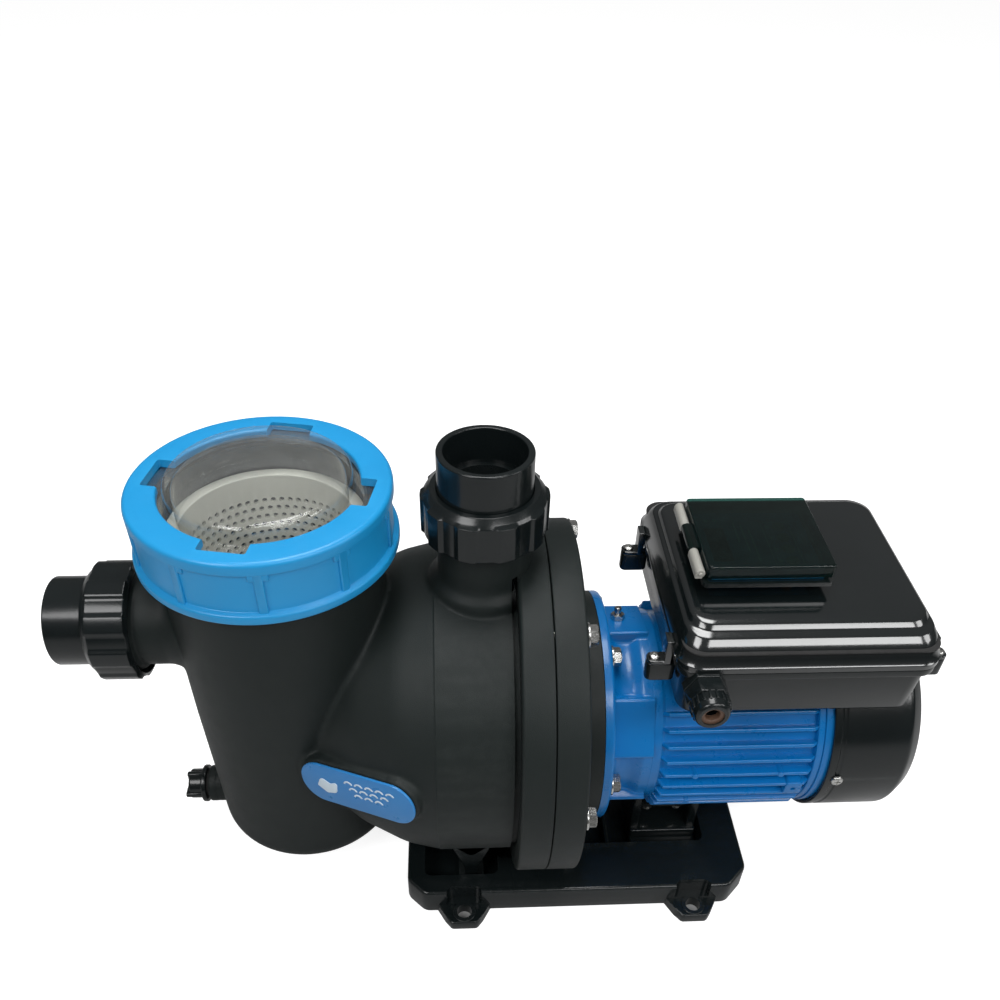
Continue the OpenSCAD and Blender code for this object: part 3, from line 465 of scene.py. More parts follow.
# main colour, colour of the soft patches, roughness and the rest of each finish
FINISHES = {
    "body_plastic": ((0.01, 0.014, 0.0135), (0.013, 0.0175, 0.017), 0.5,
                     dict(grain=0.3, grain_scale=2400.0, sheen=0.24, uneven=0.06,
                          rubbed=(0.02, 0.025, 0.024))),
    "gloss_black": ((0.005, 0.0075, 0.008), (0.008, 0.011, 0.0115), 0.22,
                    dict(grain=0.04, wave=0.03, coat=0.15, rubbed=(0.03, 0.035, 0.035),
                         sheen=0.34, uneven=0.12)),
    "box_black": ((0.003, 0.005, 0.0055), (0.006, 0.0085, 0.009), 0.15,
                  dict(grain=0.02, wave=0.02, coat=0.9, rubbed=(0.02, 0.025, 0.025),
                       uneven=0.12)),
    "ring_blue": ((0.009, 0.285, 0.62), (0.013, 0.305, 0.645), 0.36,
                  dict(grain=0.08, wave=0.03, rubbed=(0.04, 0.42, 0.78))),
    "badge_blue": ((0.02, 0.19, 0.5), (0.03, 0.22, 0.53), 0.3, dict(rubbed=(0.08, 0.3, 0.6))),
    "motor_blue": ((0.002, 0.155, 0.46), (0.003, 0.17, 0.485), 0.3,
                   dict(grain=0.06, wave=0.12, coat=0.2, sheen=0.38, rubbed=(0.01, 0.21, 0.53))),
    "rubber": ((0.01, 0.01, 0.01), (0.022, 0.022, 0.022), 0.75, dict(grain=0.3)),
    "steel": ((0.6, 0.6, 0.58), (0.42, 0.42, 0.41), 0.26,
              dict(grain=0.12, metallic=1.0, streak=(1, 8, 8))),
    "pale_plastic": ((0.36, 0.355, 0.32), (0.29, 0.285, 0.26), 0.5,
                     dict(grain=0.15, rubbed=(0.45, 0.44, 0.41))),
    "basket_grey": ((0.66, 0.65, 0.58), (0.57, 0.56, 0.5), 0.5,
                    dict(grain=0.1, rubbed=(0.75, 0.74, 0.68))),
    "ceramic": ((0.75, 0.72, 0.65), (0.68, 0.65, 0.58), 0.25, {}),
    "carbon": ((0.03, 0.03, 0.033), (0.05, 0.05, 0.05), 0.4, {}),
    "lamination": ((0.22, 0.22, 0.23), (0.13, 0.12, 0.12), 0.4,
                   dict(metallic=0.9, streak=(400, 1, 1))),
    "copper": ((0.62, 0.22, 0.07), (0.4, 0.13, 0.04), 0.3,
               dict(metallic=0.8, grain=0.6, grain_scale=900.0)),
    "board_green": ((0.01, 0.12, 0.04), (0.01, 0.08, 0.03), 0.35, {}),
    "capacitor": ((0.02, 0.03, 0.07), (0.04, 0.05, 0.09), 0.3, {}),
    "display_red": ((0.018, 0.005, 0.005), (0.03, 0.008, 0.008), 0.12, {}),
    "digit_red": ((0.75, 0.08, 0.03), (0.6, 0.06, 0.03), 0.3, {}),
    "grommet_brown": ((0.12, 0.065, 0.04), (0.08, 0.045, 0.03), 0.5, dict(grain=0.2)),
    "mark_white": ((0.62, 0.72, 0.8), (0.55, 0.66, 0.75), 0.4, {}),
}
MAT = {slot: finish_material(slot, base, dust, rough, **extra)
       for slot, (base, dust, rough, extra) in FINISHES.items()}
MAT["clear_plastic"] = clear_material("clear_plastic", (0.965, 0.975, 0.97), 0.04, 0.035)
MAT["smoked_plastic"] = clear_material("smoked_plastic", (0.12, 0.26, 0.235), 0.02, 0.02)


# ---- strainer pot and volute ----

ALONG_POT = at(POT_X, 0)
ALONG_VOLUTE = frame_at((0, 0, VOLUTE_Z), X)
ALONG_SHAFT = frame_at((0, 0, SHAFT_Z), X)
SUCTION = frame_at((SUCTION_FACE, 0, SUCTION_Z), -X)
DISCHARGE = frame_at((DISCHARGE_X, 0, DISCHARGE_FACE), Z)
DRAIN = frame_at((DRAIN_FACE, 0, DRAIN_Z), -X)
DUCT_R = 22
SPIGOT_R = 33


def badge_place():
    """Plane of the badge: local X runs along it and local Z faces out."""
    across = math.radians(-29)
    tilt = math.radians(86)
    return (at(POT_X + 49.6, -93.4, VOLUTE_Z + 7)
            @ Matrix.Rotation(across, 4, "Z") @ Matrix.Rotation(tilt, 4, "X")
            @ spin(9.5))


def capsule(length, width, steps=12):
    return rectangle(-length / 2, length / 2, -width / 2, width / 2, width / 2 - 0.01, steps)


def spigot(place, root):
    """Plain pipe that ends in a threaded spigot; local Z points out of the pump."""
    outline = [(0, -root), (30, -root), (30, -20, 2), (SPIGOT_R, -18, 1), (SPIGOT_R, -15.2),
               (34.2, -14.6), (34.2, -12.6), (SPIGOT_R, -12), (SPIGOT_R, -8.2), (34.2, -7.6),
               (34.2, -5.6), (SPIGOT_R, -5), (SPIGOT_R, 0, 1), (0, 0)]
    return turned(outline, place)


def make_pump_body():
    base = 23
    pot = turned([(0, base), (POT_R - 2, base, 17), (POT_R, 150), (POT_R, 275), (0, 275)],
                 ALONG_POT, arc=10)
    cone = turned([(0, -205), (50, -205, 14), (90, -156, 60), (105.5, -126, 50), (111, -103, 2.5),
                   (111, -54), (0, -54)], ALONG_VOLUTE, steps=192, arc=10)
    neck = turned([(0, -110), (36, -110), (36, -56, 2), (30, -50, 6), (30, -24), (0, -24)],
                  DISCHARGE)
    inlet = turned([(0, -60), (34, -50), (30, -38, 8), (30, -24), (0, -24)], SUCTION)
    drain = rod(14, -24, -3, DRAIN)
    boss = prism(capsule(91, 36), -12, 0, badge_place(), 1.5)
    skin = soften(gather([pot, cone, neck, inlet, drain, boss]), 1.5, 9)
    collar = rod(14, -6, 0, DRAIN, edge=1)
    # the straight band keeps a crisp edge where the cone begins
    band = turned([(0, -104.5), (109.6, -104.5), (111.3, -102.6, 0.8), (111.3, RIM_FRONT - 2),
                   (0, RIM_FRONT - 2)], ALONG_VOLUTE, steps=192)
    # threaded top of the pot under the lock ring
    outline = [(0, 268), (POT_R, 268), (POT_R, 280)]
    for i in range(3):
        h = 280 + 9 * i
        outline += [(POT_R + 1.7, h + 0.8), (POT_R + 1.7, h + 3.2), (POT_R, h + 4)]
    outline += [(POT_R, POT_TOP, 1), (0, POT_TOP)]
    top = turned(outline, ALONG_POT)
    flange = turned([(0, -60), (108, -60), (108, RIM_FRONT + 0.4), (RIM_R, RIM_FRONT, 2.5),
                     (RIM_R, SEAM_X - 0.3, 0.8), (0, SEAM_X - 0.3)], ALONG_VOLUTE, steps=192)
    groove = lathe([(108, RIM_FRONT - 3.5), (RIM_R + 3, RIM_FRONT - 3.5),
                    (RIM_R + 3, RIM_FRONT), (108, RIM_FRONT)], ALONG_VOLUTE, steps=192)
    cuts = [
        groove,
        solid_lathe([(0, 31), (POT_BORE - 3.5, 31), (POT_BORE - 3.5, 286), (POT_BORE, 286),
                     (POT_BORE, POT_TOP + 1), (0, POT_TOP + 1)], ALONG_POT),
        lathe([(POT_BORE + 1.4, POT_TOP - 1.5), (POT_R - 1.4, POT_TOP - 1.5),
               (POT_R - 1.4, POT_TOP + 1), (POT_BORE + 1.4, POT_TOP + 1)], ALONG_POT),
        solid_lathe([(0, -95), (98, -95), (98, SEAM_X + 1), (0, SEAM_X + 1)], ALONG_VOLUTE),
        rod(23.5, POT_X + 30, -94, ALONG_SHAFT),
        rod(DUCT_R, -108.5, 1, DISCHARGE, steps=96),
        rod(DUCT_R, -90, 1, SUCTION, steps=96),
        rod(6.6, -35, 1, DRAIN),
    ]
    body = fuse([skin, band, collar, top, spigot(DISCHARGE, 40), spigot(SUCTION, 40), flange],
                cuts)
    piece(body, "pump_casing", "pump", "body_plastic", "pump_body")


def make_rear_cover():
    rim = turned([(0, SEAM_X + 0.3), (RIM_R, SEAM_X + 0.3, 0.8), (RIM_R, RIM_BACK, 2),
                  (0, RIM_BACK)], ALONG_VOLUTE, steps=192)
    pilot = rod(97.7, RIM_FRONT, SEAM_X + 2, ALONG_VOLUTE, steps=144)
    ring = turned([(0, RIM_BACK - 3), (84, RIM_BACK - 3), (84, 9, 0.8), (0, 9)], ALONG_SHAFT)
    cuts = [
        lathe([(24, -40), (66, -40), (66, 12), (24, 3)], ALONG_SHAFT),
        rod(66, 3, 12, ALONG_SHAFT),
        rod(14, -41, 12, ALONG_SHAFT),
        rod(20, RIM_FRONT - 1, -38, ALONG_SHAFT),
    ]
    pockets = []
    for a in around(30, 6):
        pockets.append(slab(0, 12, -4, 4, 106.5, 112.5, 1,
                            place=about_axis(a, 0, RIM_BACK - 9, VOLUTE_Z)))
        pockets.append(slab(0, 12, -3, 3, 98.5, 104.5, 1,
                            place=about_axis(a, 0, RIM_BACK - 9, VOLUTE_Z)))
    for a in around(6, 3):
        pockets.append(rod(4.3, 0, 40, about_axis(a, 118.5, SEAM_X - 1, VOLUTE_Z)
                           @ frame_at((0, 0, 0), X), 0, 40))
    cuts.append(gather(pockets))
    piece(fuse([rim, pilot, ring], cuts), "seal_plate", "pump", "body_plastic", "rear_cover")


# ---- lid, ring and basket ----

def make_lock_ring():
    side = RING_R - 3.6
    band = RING_R - 2
    wall = turned_ring([(73.5, RING_LOW, 0.5), (RING_R, RING_LOW, 1.4), (RING_R, RING_LOW + 6, 2),
                        (side, RING_LOW + 7.5, 1), (side, RING_TOP - 9, 0.6),
                        (band, RING_TOP - 8, 0.6), (band, RING_TOP, 3), (59.5, RING_TOP, 1.6),
                        (59.5, RING_TOP - 5.3, 1), (73.5, RING_TOP - 5.3, 0.6)], ALONG_POT,
                       steps=192)
    ribs = []
    for a in around(10, 24):
        turn = ALONG_POT @ spin(a)
        ribs.append(slab(74, band - 0.1, -2.8, 2.8, RING_LOW + 4, RING_TOP - 5, 1, 0.6, turn))
        ribs.append(slab(74, band - 0.5, -6, 6, RING_TOP - 12.5, RING_TOP - 5, 1.2, 0.6, turn))
    notches = []
    for a in around(4, -10):
        turn = ALONG_POT @ spin(a)
        notches.append(slab(50, 68.3, -14, 14, RING_TOP - 7, RING_TOP + 3, 1.5, 0, turn))
    threads = []
    for i in range(2):
        h = RING_LOW + 7.7 + 9 * i
        threads.append(lathe([(74, h), (74, h + 3.6), (71.6, h + 2.8), (71.6, h + 0.8)],
                             ALONG_POT))
    ring = fuse([wall] + ribs + threads, [gather(notches)])
    piece(ring, "threaded_lock_ring", "ring", "ring_blue", "lock_ring")


def make_clear_lid():
    top = high("clear_lid", 2)
    outline = [(0, top - 4), (44, top - 4), (51.5, top - 5.4, 4), (51.5, LID_LOW - 12, 0.6),
               (61, LID_LOW - 12, 0.8), (61, LID_LOW, 0.5), (POT_R - 0.6, LID_LOW, 0.8),
               (POT_R - 0.6, LID_LOW + 4.5, 0.8), (55.5, LID_LOW + 4.5, 1.5),
               (55.5, top - 1.2, 4.5), (48, top, 4), (0, top)]
    piece(turned(outline, ALONG_POT, 160), "pot_lid", "lid",
          "clear_plastic", "clear_lid")


def make_basket():
    seat = low("strainer_basket", 2)
    top = high("strainer_basket", 2)
    lip = seat + 224.1
    wall = turned_ring([(0.01, seat), (50, seat, 6), (50.25, seat + 9), (56, lip - 11),
                        (56.2, lip - 4, 2), (58.4, lip, 0.4), (61.6, lip, 0.6),
                        (61.6, lip + 3, 0.8), (53.8, lip + 3, 0.8), (53.7, lip - 11),
                        (48.05, seat + 9), (47.8, seat + 2.4, 4), (0.01, seat + 2.4)], ALONG_POT,
                       steps=160)
    holes = []
    for row in range(32):
        h = lip - 16 - 6.2 * row
        for a in around(60, 3 * (row % 2)):
            if abs(h - SUCTION_Z) < 28 and abs(a - 180) < 36:
                continue
            holes.append(rod(1.9, 40, 64, frame_at((POT_X, 0, h), (*polar(1, a), 0)), 0, 8))
    for r, count in ((10, 8), (18, 14), (26, 20), (34, 26), (42, 32)):
        for a in around(count):
            x, y = polar(r, a)
            holes.append(rod(1.7, seat - 2, seat + 6, at(POT_X + x, y), 0, 8))
    window = rod(24, 20, 72, frame_at((POT_X, 0, SUCTION_Z), -X))
    tab = slab(POT_X + 52, POT_X + 59.5, -6, 6, lip + 2, top, 1.5, 0.7)
    basket = fuse([wall, tab], [window, gather(holes)])
    piece(basket, "leaf_basket", "basket", "pale_plastic", "strainer_basket",
          finish="basket_grey")


# ---- pipe unions ----

def make_union(place, name, tail_body, nut_body, tail_node, nut_node, length):
    tail = turned_ring([(DUCT_R, 1.95), (34, 1.95, 0.5), (34, 6.95, 0.5), (29.5, 6.95, 0.5),
                        (29.5, length, 1.1), (25.4, length, 0.8), (25.15, length - 1.5),
                        (25.15, length - 24), (DUCT_R, length - 24)], place)
    piece(tail, name + "_tail_piece", tail_body, "gloss_black", tail_node)

    def flutes(a, r, h):
        if r < 37:
            return 0
        wave = 0.5 + 0.5 * math.cos(10 * a)
        return 1.5 * min(1, max(0, (wave - 0.30) * 3.2)) * min(1, (r - 37) / 1.2)

    edge = 38.3
    nut = turned_ring([(35.7, -19.5, 0.6), (34.4 + 1.6, -19.5, 0.4), (edge, -17.5, 1.2),
                       (edge, -16), (edge, -13), (edge, -4), (edge, 4), (edge, 6.2, 1),
                       (edge - 1.6, 8.2, 1.2), (33.5, 11.5, 1.4), (29.8, 11.5, 0.5),
                       (29.8, 7.2, 0.4), (35.7, 7.2)], place, steps=240, ripple=flutes)
    ridges = [lathe([(36.2, h), (36.2, h + 2.6), (34.6, h + 1.9), (34.6, h + 0.7)], place)
              for h in (-11.3, -4.3)]
    piece(fuse([nut] + ridges), name + "_coupling_nut", nut_body, "gloss_black", nut_node)


def make_unions():
    make_union(SUCTION, "suction", "inlet_pipe_tail", "inlet_union_nut", "inlet_tail",
               "inlet_nut", 36.5)
    make_union(DISCHARGE, "discharge", "discharge_pipe_tail", "discharge_union_nut",
               "discharge_tail", "discharge_nut", 36.5)


# ---- drain plug and badge ----

def make_drain_plug():
    reach = DRAIN_FACE - low("drain_plug", 0)
    shank = rod(5.9, -12, 3, DRAIN, edge=0.8)
    head = turned([(0, 2.05), (14.5, 2.05, 0.8), (14.5, 5.5, 1), (11.5, 6.2, 0.6),
                   (11.5, reach - 2, 1.6), (0, reach - 2)], DRAIN)
    wing = slab(-13, 13, -2.2, 2.2, 5, reach, 1.6, 1.0, DRAIN)
    wing_two = slab(-2.2, 2.2, -13, 13, 5, reach - 1, 1.6, 1.0, DRAIN)
    piece(fuse([head, shank, wing, wing_two]), "drain_screw_plug", "drain_screw",
          "gloss_black", "drain_plug")


def make_badge():
    place = badge_place()
    plate = prism(capsule(88, 33), 0.05, 2.05, place, 0.7)
    marks = []
    # a leaf-shaped drop and three rows of ripples
    leaf = rounded([(-31, -2, 1), (-27, 6, 3), (-20, 2, 2), (-14, 5, 2), (-16, -5, 3),
                    (-24, -7, 3)], steps=4)
    marks.append(prism(leaf, 1.5, 2.6, place, 0.3))
    for row in range(3):
        for i in range(5 - row):
            spot = place @ at(-5 + 8 * i + 3 * row, 5.5 - 5 * row)
            arc = [polar(3.6, 20 + 14 * k) for k in range(11)]
            arc += [polar(2.4, 160 - 14 * k) for k in range(11)]
            marks.append(prism(arc, 1.5, 2.5, spot, 0.2, 1))
    piece(plate, "badge_plate", "pump", "badge_blue", "badge")
    piece(gather(marks), "badge_ripples", "pump", "pale_plastic", finish="mark_white")


# ---- fasteners ----

def hex_head(place, across, height):
    """Hexagon head whose top corners are turned off."""
    corners = [polar(across, a) for a in around(6)]
    head = prism(corners, 0, height, place, 0.25, 1)
    turned = solid_lathe([(0, -0.5), (across + 0.3, -0.5), (across + 0.3, height - 1.3),
                          (across * 0.84, height), (0, height)], place, 48)
    return combine(head, turned, "INTERSECT")


def hex_bolt(place, across, height, shank, reach, washer):
    """Washer, head and shank with local Z pointing out of the joint."""
    thick = 1.5
    up = place @ at(0, 0, thick)
    return fuse([hex_head(up, across, height), rod(washer, 0, thick, place, 0.35, 48),
                 rod(shank, -reach, thick + 0.5, place, 0.6, 32)])


def pan_screw(place, shank, length, head, height):
    """Domed head with a cross recess."""
    dome = turned([(0, 0), (head, 0, 0.2), (head * 0.9, height * 0.7, 1.2),
                   (head * 0.45, height, 1), (0, height)], place, 40)
    stem = rod(shank, -length, 0.4, place, 0.4, 24)
    arms = [slab(-head * 0.5, head * 0.5, -0.4, 0.4, height - 1.2, height + 1, 0, 0, place),
            slab(-0.4, 0.4, -head * 0.5, head * 0.5, height - 1.2, height + 1, 0, 0, place)]
    return fuse([dome, stem], arms)


ALONG_X = spin(90, "Y")
FLANGE_TURN = -1
FLANGE_X = 9
BELL_END = FRAME_X0
PAD_TURNS = around(5, FLANGE_TURN + 33)


def make_rim_bolts():
    bolts = [hex_bolt(about_axis(a, 118.5, RIM_BACK, VOLUTE_Z) @ ALONG_X, 6.9, 5.3, 3.98, 34,
                      8) for a in around(6, 3)]
    piece(gather(bolts), "rim_screws", "pump", "steel", "rim_bolts")


def make_flange_bolts():
    bolts = [hex_bolt(about_axis(a, 75, FLANGE_X + 6.5, SHAFT_Z) @ ALONG_X, 6.9, 5.3, 3.98, 21,
                      8) for a in around(5, FLANGE_TURN)]
    piece(gather(bolts), "flange_screws", "pump", "steel", "flange_bolts")


def make_earth_bolt():
    place = about_axis(FLANGE_TURN + 105, 71.05, 26, SHAFT_Z)
    bolt = fuse([hex_head(place, 5.2, 4), rod(2.5, 0, 9, place, 0.6, 24)])
    piece(bolt, "earth_terminal", "pump", "steel", "earth_bolt")


# ---- motor ----

def make_front_shield():
    bell = turned([(0, FLANGE_X - 3), (84, FLANGE_X - 3), (84, FLANGE_X + 6.5, 1.2),
                   (72, FLANGE_X + 6.5, 5), (66.5, 21, 8), (65.5, 30, 10), (69.6, 38, 3),
                   (70, BELL_END + 3), (0, BELL_END + 3)], ALONG_SHAFT)
    pads = [slab(FLANGE_X - 2, BELL_END + 3, -21, 21, 52, 71, 1, 1.4,
                 about_axis(a, 0, 0, SHAFT_Z)) for a in PAD_TURNS]
    skin = soften(gather([bell] + pads), 1.1, 4)
    cuts = [
        rod(100, FLANGE_X - 12, FLANGE_X, ALONG_SHAFT),
        rod(100, BELL_END, BELL_END + 12, ALONG_SHAFT),
        lathe([(29, FLANGE_X + 6), (60, FLANGE_X + 6), (60, BELL_END - 4), (62.4, BELL_END - 4),
               (62.4, BELL_END + 5), (0.01, BELL_END + 5), (0.01, 30), (29, 30)], ALONG_SHAFT),
        rod(23.5, low("bearing_outers", 0), 31, ALONG_SHAFT),
        rod(21, -2, 20, ALONG_SHAFT),
    ]
    cuts += [rod(4.3, -2, 22, about_axis(a, 75, 0, SHAFT_Z) @ ALONG_X, steps=40)
             for a in around(5, FLANGE_TURN)]
    shield = fuse([skin], cuts)
    register = lathe([(60, 4), (65.9, 4), (65.9, FLANGE_X + 1), (60, FLANGE_X + 1)], ALONG_SHAFT)
    hub = lathe([(22, 4), (27, 4), (27, FLANGE_X + 1), (22, FLANGE_X + 1)], ALONG_SHAFT)
    shield = fuse([shield, register, hub])
    piece(shield, "motor_front_shield", "pump", "motor_blue", "front_shield")


def fin(angle):
    """One cooling fin with sloping ends and a rounded crest."""
    outline = rounded([(BELL_END + 4, 66), (FRAME_X1 - 0.4, 66), (FRAME_X1 - 0.4, 69),
                       (FRAME_X1 - 8, 76.4, 1.2), (BELL_END + 9, 76.4, 1.5)])
    place = about_axis(angle, 0, 0, SHAFT_Z) @ spin(90, "X")
    return prism(outline, -1.45, 1.45, place, 0.9, 3)


def make_motor_frame():
    skin = turned_ring([(62.5, BELL_END), (70, BELL_END, 0.3), (70, BELL_END + 6, 1),
                        (69, BELL_END + 8, 1), (69, FRAME_X1 - 5.5, 1.5), (74, FRAME_X1 - 4.5, 1),
                        (74, FRAME_X1, 0.6), (62.5, FRAME_X1)], ALONG_SHAFT)
    fins = gather([fin(40 - 9 * i) for i in range(30)])
    shell = fuse([skin, fins])
    # seats under the control box and on the foot, turned to the frame's own centre
    seats = gather([slab(60, 152, -34, 34, SHAFT_Z + 45, SHAFT_Z + 82, 4, 1),
                    slab(44.6, 100, -40, 40, SHAFT_Z - 92, SHAFT_Z - 45, 3, 1)])
    seats = combine(seats, rod(77, 30, 170, ALONG_SHAFT, steps=160), "INTERSECT")
    seats = combine(seats, rod(64, 20, 180, ALONG_SHAFT, steps=160), "DIFFERENCE")
    seats = combine(seats, rod(200, 20, BELL_END + 2, ALONG_SHAFT, steps=64), "DIFFERENCE")
    nameplate_lug = slab(-6, 6, -7, 7, 66, 77.2, 3, 0.8, about_axis(-8, 0, 146, SHAFT_Z))
    dots = [rod(2.2, 66, 77, about_axis(a, 0, x, SHAFT_Z), 0.5, 24)
            for a, x in ((4, 74), (4, 134), (-23, 74))]
    cuts = [rod(9, SHAFT_Z + 55, SHAFT_Z + 90, at(100, 0)),
            rod(1.8, 70, 80, about_axis(-8, 0, 146, SHAFT_Z), 0, 24)]
    cuts += [rod(3.3, SHAFT_Z - 95, SHAFT_Z - 57.5, at(x, y), 0, 24)
             for x in (60, 84) for y in (-26, 26)]
    shell = fuse([shell, seats, nameplate_lug] + dots, cuts)
    piece(shell, "motor_finned_frame", "pump", "motor_blue", "motor_frame")


def make_rear_shield():
    plate = turned_ring([(14, 160.5), (29, 160.5), (29, FRAME_X1), (62.4, FRAME_X1 - 4),
                         (62.4, FRAME_X1), (75, FRAME_X1, 0.6), (75, 167, 0.8), (29, 167),
                         (29, 179, 1), (14, 179, 0.6)], ALONG_SHAFT)
    cut = rod(23.5, 150, 177.2, ALONG_SHAFT)
    bosses = [slab(FRAME_X1, 181, -7, 7, 60, 74, 1, 0.8, about_axis(a, 0, 0, SHAFT_Z))
              for a in (0, 180, 270)]
    shield = fuse([plate] + bosses, [cut])
    piece(shield, "motor_rear_shield", "pump", "motor_blue", "rear_shield")


def make_fan_cover():
    x0, x1, r = FAN_X0, FAN_X1, FAN_R
    shell = turned([(0, x1), (r - 7.5, x1, 3), (r, x1 - 9, 6), (r, x0 + 9, 0.4),
                    (r - 0.7, x0 + 8, 0.4), (r - 0.7, x0 + 6, 0.4), (r, x0 + 5, 0.4),
                    (r, x0, 0.8), (r - 2.5, x0, 0.5), (r - 2.5, x1 - 9.5, 5),
                    (r - 9, x1 - 2.5, 2), (0, x1 - 2.5)], ALONG_SHAFT, 192)
    slots = []
    for ring in range(3):
        inner, outer = 18 + 17 * ring, 28 + 17 * ring
        for a in around(12, 15):
            edge = []
            for radius, order in ((inner, 1), (outer, -1)):
                spare = 15 - math.degrees(math.asin(2 / radius))
                edge += [polar(radius, a + order * spare * (k / 3 - 1)) for k in range(7)]
            slots.append(prism(edge, x1 - 6, x1 + 2, ALONG_SHAFT, 0))
    holes = [rod(2.4, 60, 90, about_axis(a, 0, 174, SHAFT_Z), 0, 24) for a in (0, 180, 270)]
    piece(fuse([shell], [gather(slots)] + holes), "fan_cowl", "pump", "gloss_black",
          "fan_cover")
    screws = [pan_screw(about_axis(a, r + 0.02, 174, SHAFT_Z), 2, 14, 4.4, 2.4)
              for a in (0, 180, 270)]
    piece(gather(screws), "fan_cowl_screws", "pump", "steel", "fan_cover_screws")


# ---- base ----

LUGS = [(x, y) for x in (-86, 86) for y in (-104, 104)]
RAIL = 24


def make_base_frame():
    plan = rounded([(-128, -85, 9), (-115, -98, 9), (113, -98, 10), (129, -82, 10),
                    (129, 82, 10), (113, 98, 10), (-115, 98, 9), (-128, 85, 9)])
    under = rounded([(-124, -83, 6), (-113, -94, 6), (111, -94, 6), (125, -80, 6),
                     (125, 80, 6), (111, 94, 6), (-113, 94, 6), (-124, 83, 6)])
    plinth = prism(plan, 0, RAIL, Matrix(), 2.6, 4)
    plinth = combine(plinth, prism(under, -6, RAIL - 3), "DIFFERENCE")
    # the three blocks keep a floor 3 mm thick under the openings cut from them: a dark sheet that
    # stands in for the shade inside the frame, which is likely open below
    adds = [slab(-56, 105, -61, 61, 0, RAIL - 0.05, 4), slab(-64, 4, -72, 72, 0, RAIL - 0.06, 4),
            slab(-119, -52, -86, 86, 0, RAIL - 0.07, 4)]
    cuts = []
    for x, y in LUGS:
        s = math.copysign(1, y)
        pad = rounded([(x - 24, y - s * 14), (x - 14, y + s * 3, 5), (x - 9.5, y + s * 9.5, 4),
                       (x + 9.5, y + s * 9.5, 4), (x + 14, y + s * 3, 5), (x + 24, y - s * 14)])
        adds.append(prism(pad, 0, 9, Matrix(), 1.2))
        adds.append(slab(x - 16, x + 16, min(s * 89, s * 97), max(s * 89, s * 97), 0,
                         RAIL - 3.5, 1))
        adds.append(rod(8.6, 4, 9.6, at(x, y), 0.5))
        cuts.append(slab(x - 13, x + 13, min(s * 92, s * 122), max(s * 92, s * 122), 10, 40,
                         5))
        cuts.append(rod(5.5, -1, 12, at(x, y), 0, 48))
    # these openings stop 3 mm above the ground and leave the dark floor that stands in for the
    # shade inside the frame
    cuts += [slab(-54, 101, -57, 57, 3, 40, 5), slab(-115, -60, -82, 82, 3, 40, 5),
             slab(-61, 0, -68, 68, 3, 40, 5)]
    base = fuse([plinth] + adds, cuts)
    bars = [slab(-90, -70, -83, 83, 0.1, 10, 1, 1), slab(46, 98, -58, 58, 0.1, 12, 1, 1)]
    ribs = [slab(x, x + 3, -58, 58, 0.1, 14, 0.5, 0.8) for x in (-34, -14, 6, 26)]
    piece(fuse([base] + bars + ribs), "base_plinth", "pump", "gloss_black", "base_frame")


def make_cradle():
    arms = []
    for y in (-64, 76):
        side = rounded([(-5, 0), (5, 0), (5, 14, 3), (16, 44, 1), (7, 44, 1), (0, 26, 3),
                        (-7, 44, 1), (-16, 44, 1), (-5, 14, 3)])
        place = (at(-80, y, 10) @ spin(90, "X"))
        arms.append(prism(side, 0, 12, place, 1.1))
    arms.append(slab(-85, -75, -66, 66, 10, 16, 1, 1))
    cradle = fuse(arms, [rod(111.1, -105, -55, ALONG_VOLUTE, steps=160)])
    piece(cradle, "volute_saddle", "pump", "gloss_black", "volute_cradle")


def make_motor_foot():
    adds = [slab(46, 98, -44, 44, 12.05, 20, 2, 1.2)]
    adds += [slab(x, x + 7, -40, 40, 13, SHAFT_Z - 53, 1.5, 1.2) for x in (46, 91)]
    adds.append(slab(47, 97, -4, 4, 13, SHAFT_Z - 71, 1, 1))
    adds += [slab(47, 97, y, y + 16, SHAFT_Z - 85, SHAFT_Z - 55, 1, 1) for y in (-34, 18)]
    cuts = [rod(77.1, 40, 120, ALONG_SHAFT, steps=160)]
    cuts += [rod(3.3, 21, 90, at(x, y), 0, 24)
             for x in (60, 84) for y in (-26, 26)]
    piece(fuse(adds, cuts), "motor_pedestal", "pump", "gloss_black", "motor_foot")


# ---- control box ----

LUG_SPOTS = [(x, y) for x in (BOX_LEFT - 9, BOX_RIGHT + 9) for y in (-56, 56)]
LUG_TOP = COVER_LOW - 13
PANEL_Y = mid("control_panel", 1)
PANEL_X0, PANEL_X1 = low("control_panel", 0), high("control_panel", 0)
PANEL_HALF = half("control_panel", 1)
PANEL_Z = high("control_panel", 2)
HINGE_X = low("hinge_barrels", 0) + 3
HINGE_Z = high("hinge_barrels", 2) - 3


def box_outline(inset, inset_y=None, corner=16):
    """Plan of the box, drawn in at the ends and along the sides."""
    inset_y = inset if inset_y is None else inset_y
    return rectangle(BOX_LEFT + inset, BOX_RIGHT - inset, -BOX_Y + inset_y,
                     BOX_Y - inset_y, corner, 10)


def lug(x, y, z0, z1, reach=14):
    """Block at a screw of the cover, reaching in to the side of the box."""
    inner = x + math.copysign(reach, 100 - x)
    outer = x - math.copysign(5, 100 - x)
    return slab(min(inner, outer), max(inner, outer), y - 5, y + 5, z0, z1, 4, 0.8)


def ear(x, y):
    """Tab that hangs from the cover onto a lug of the tray."""
    strap_in = x + math.copysign(9.8, 100 - x)
    strap_out = x + math.copysign(5.4, 100 - x)
    strap = slab(min(strap_in, strap_out), max(strap_in, strap_out), y - 5, y + 5,
                 LUG_TOP + 0.05, COVER_LOW + 6, 0.5, 0.8)
    return combine(lug(x, y, LUG_TOP + 0.05, LUG_TOP + 2.5, 9.6), strap, "UNION")


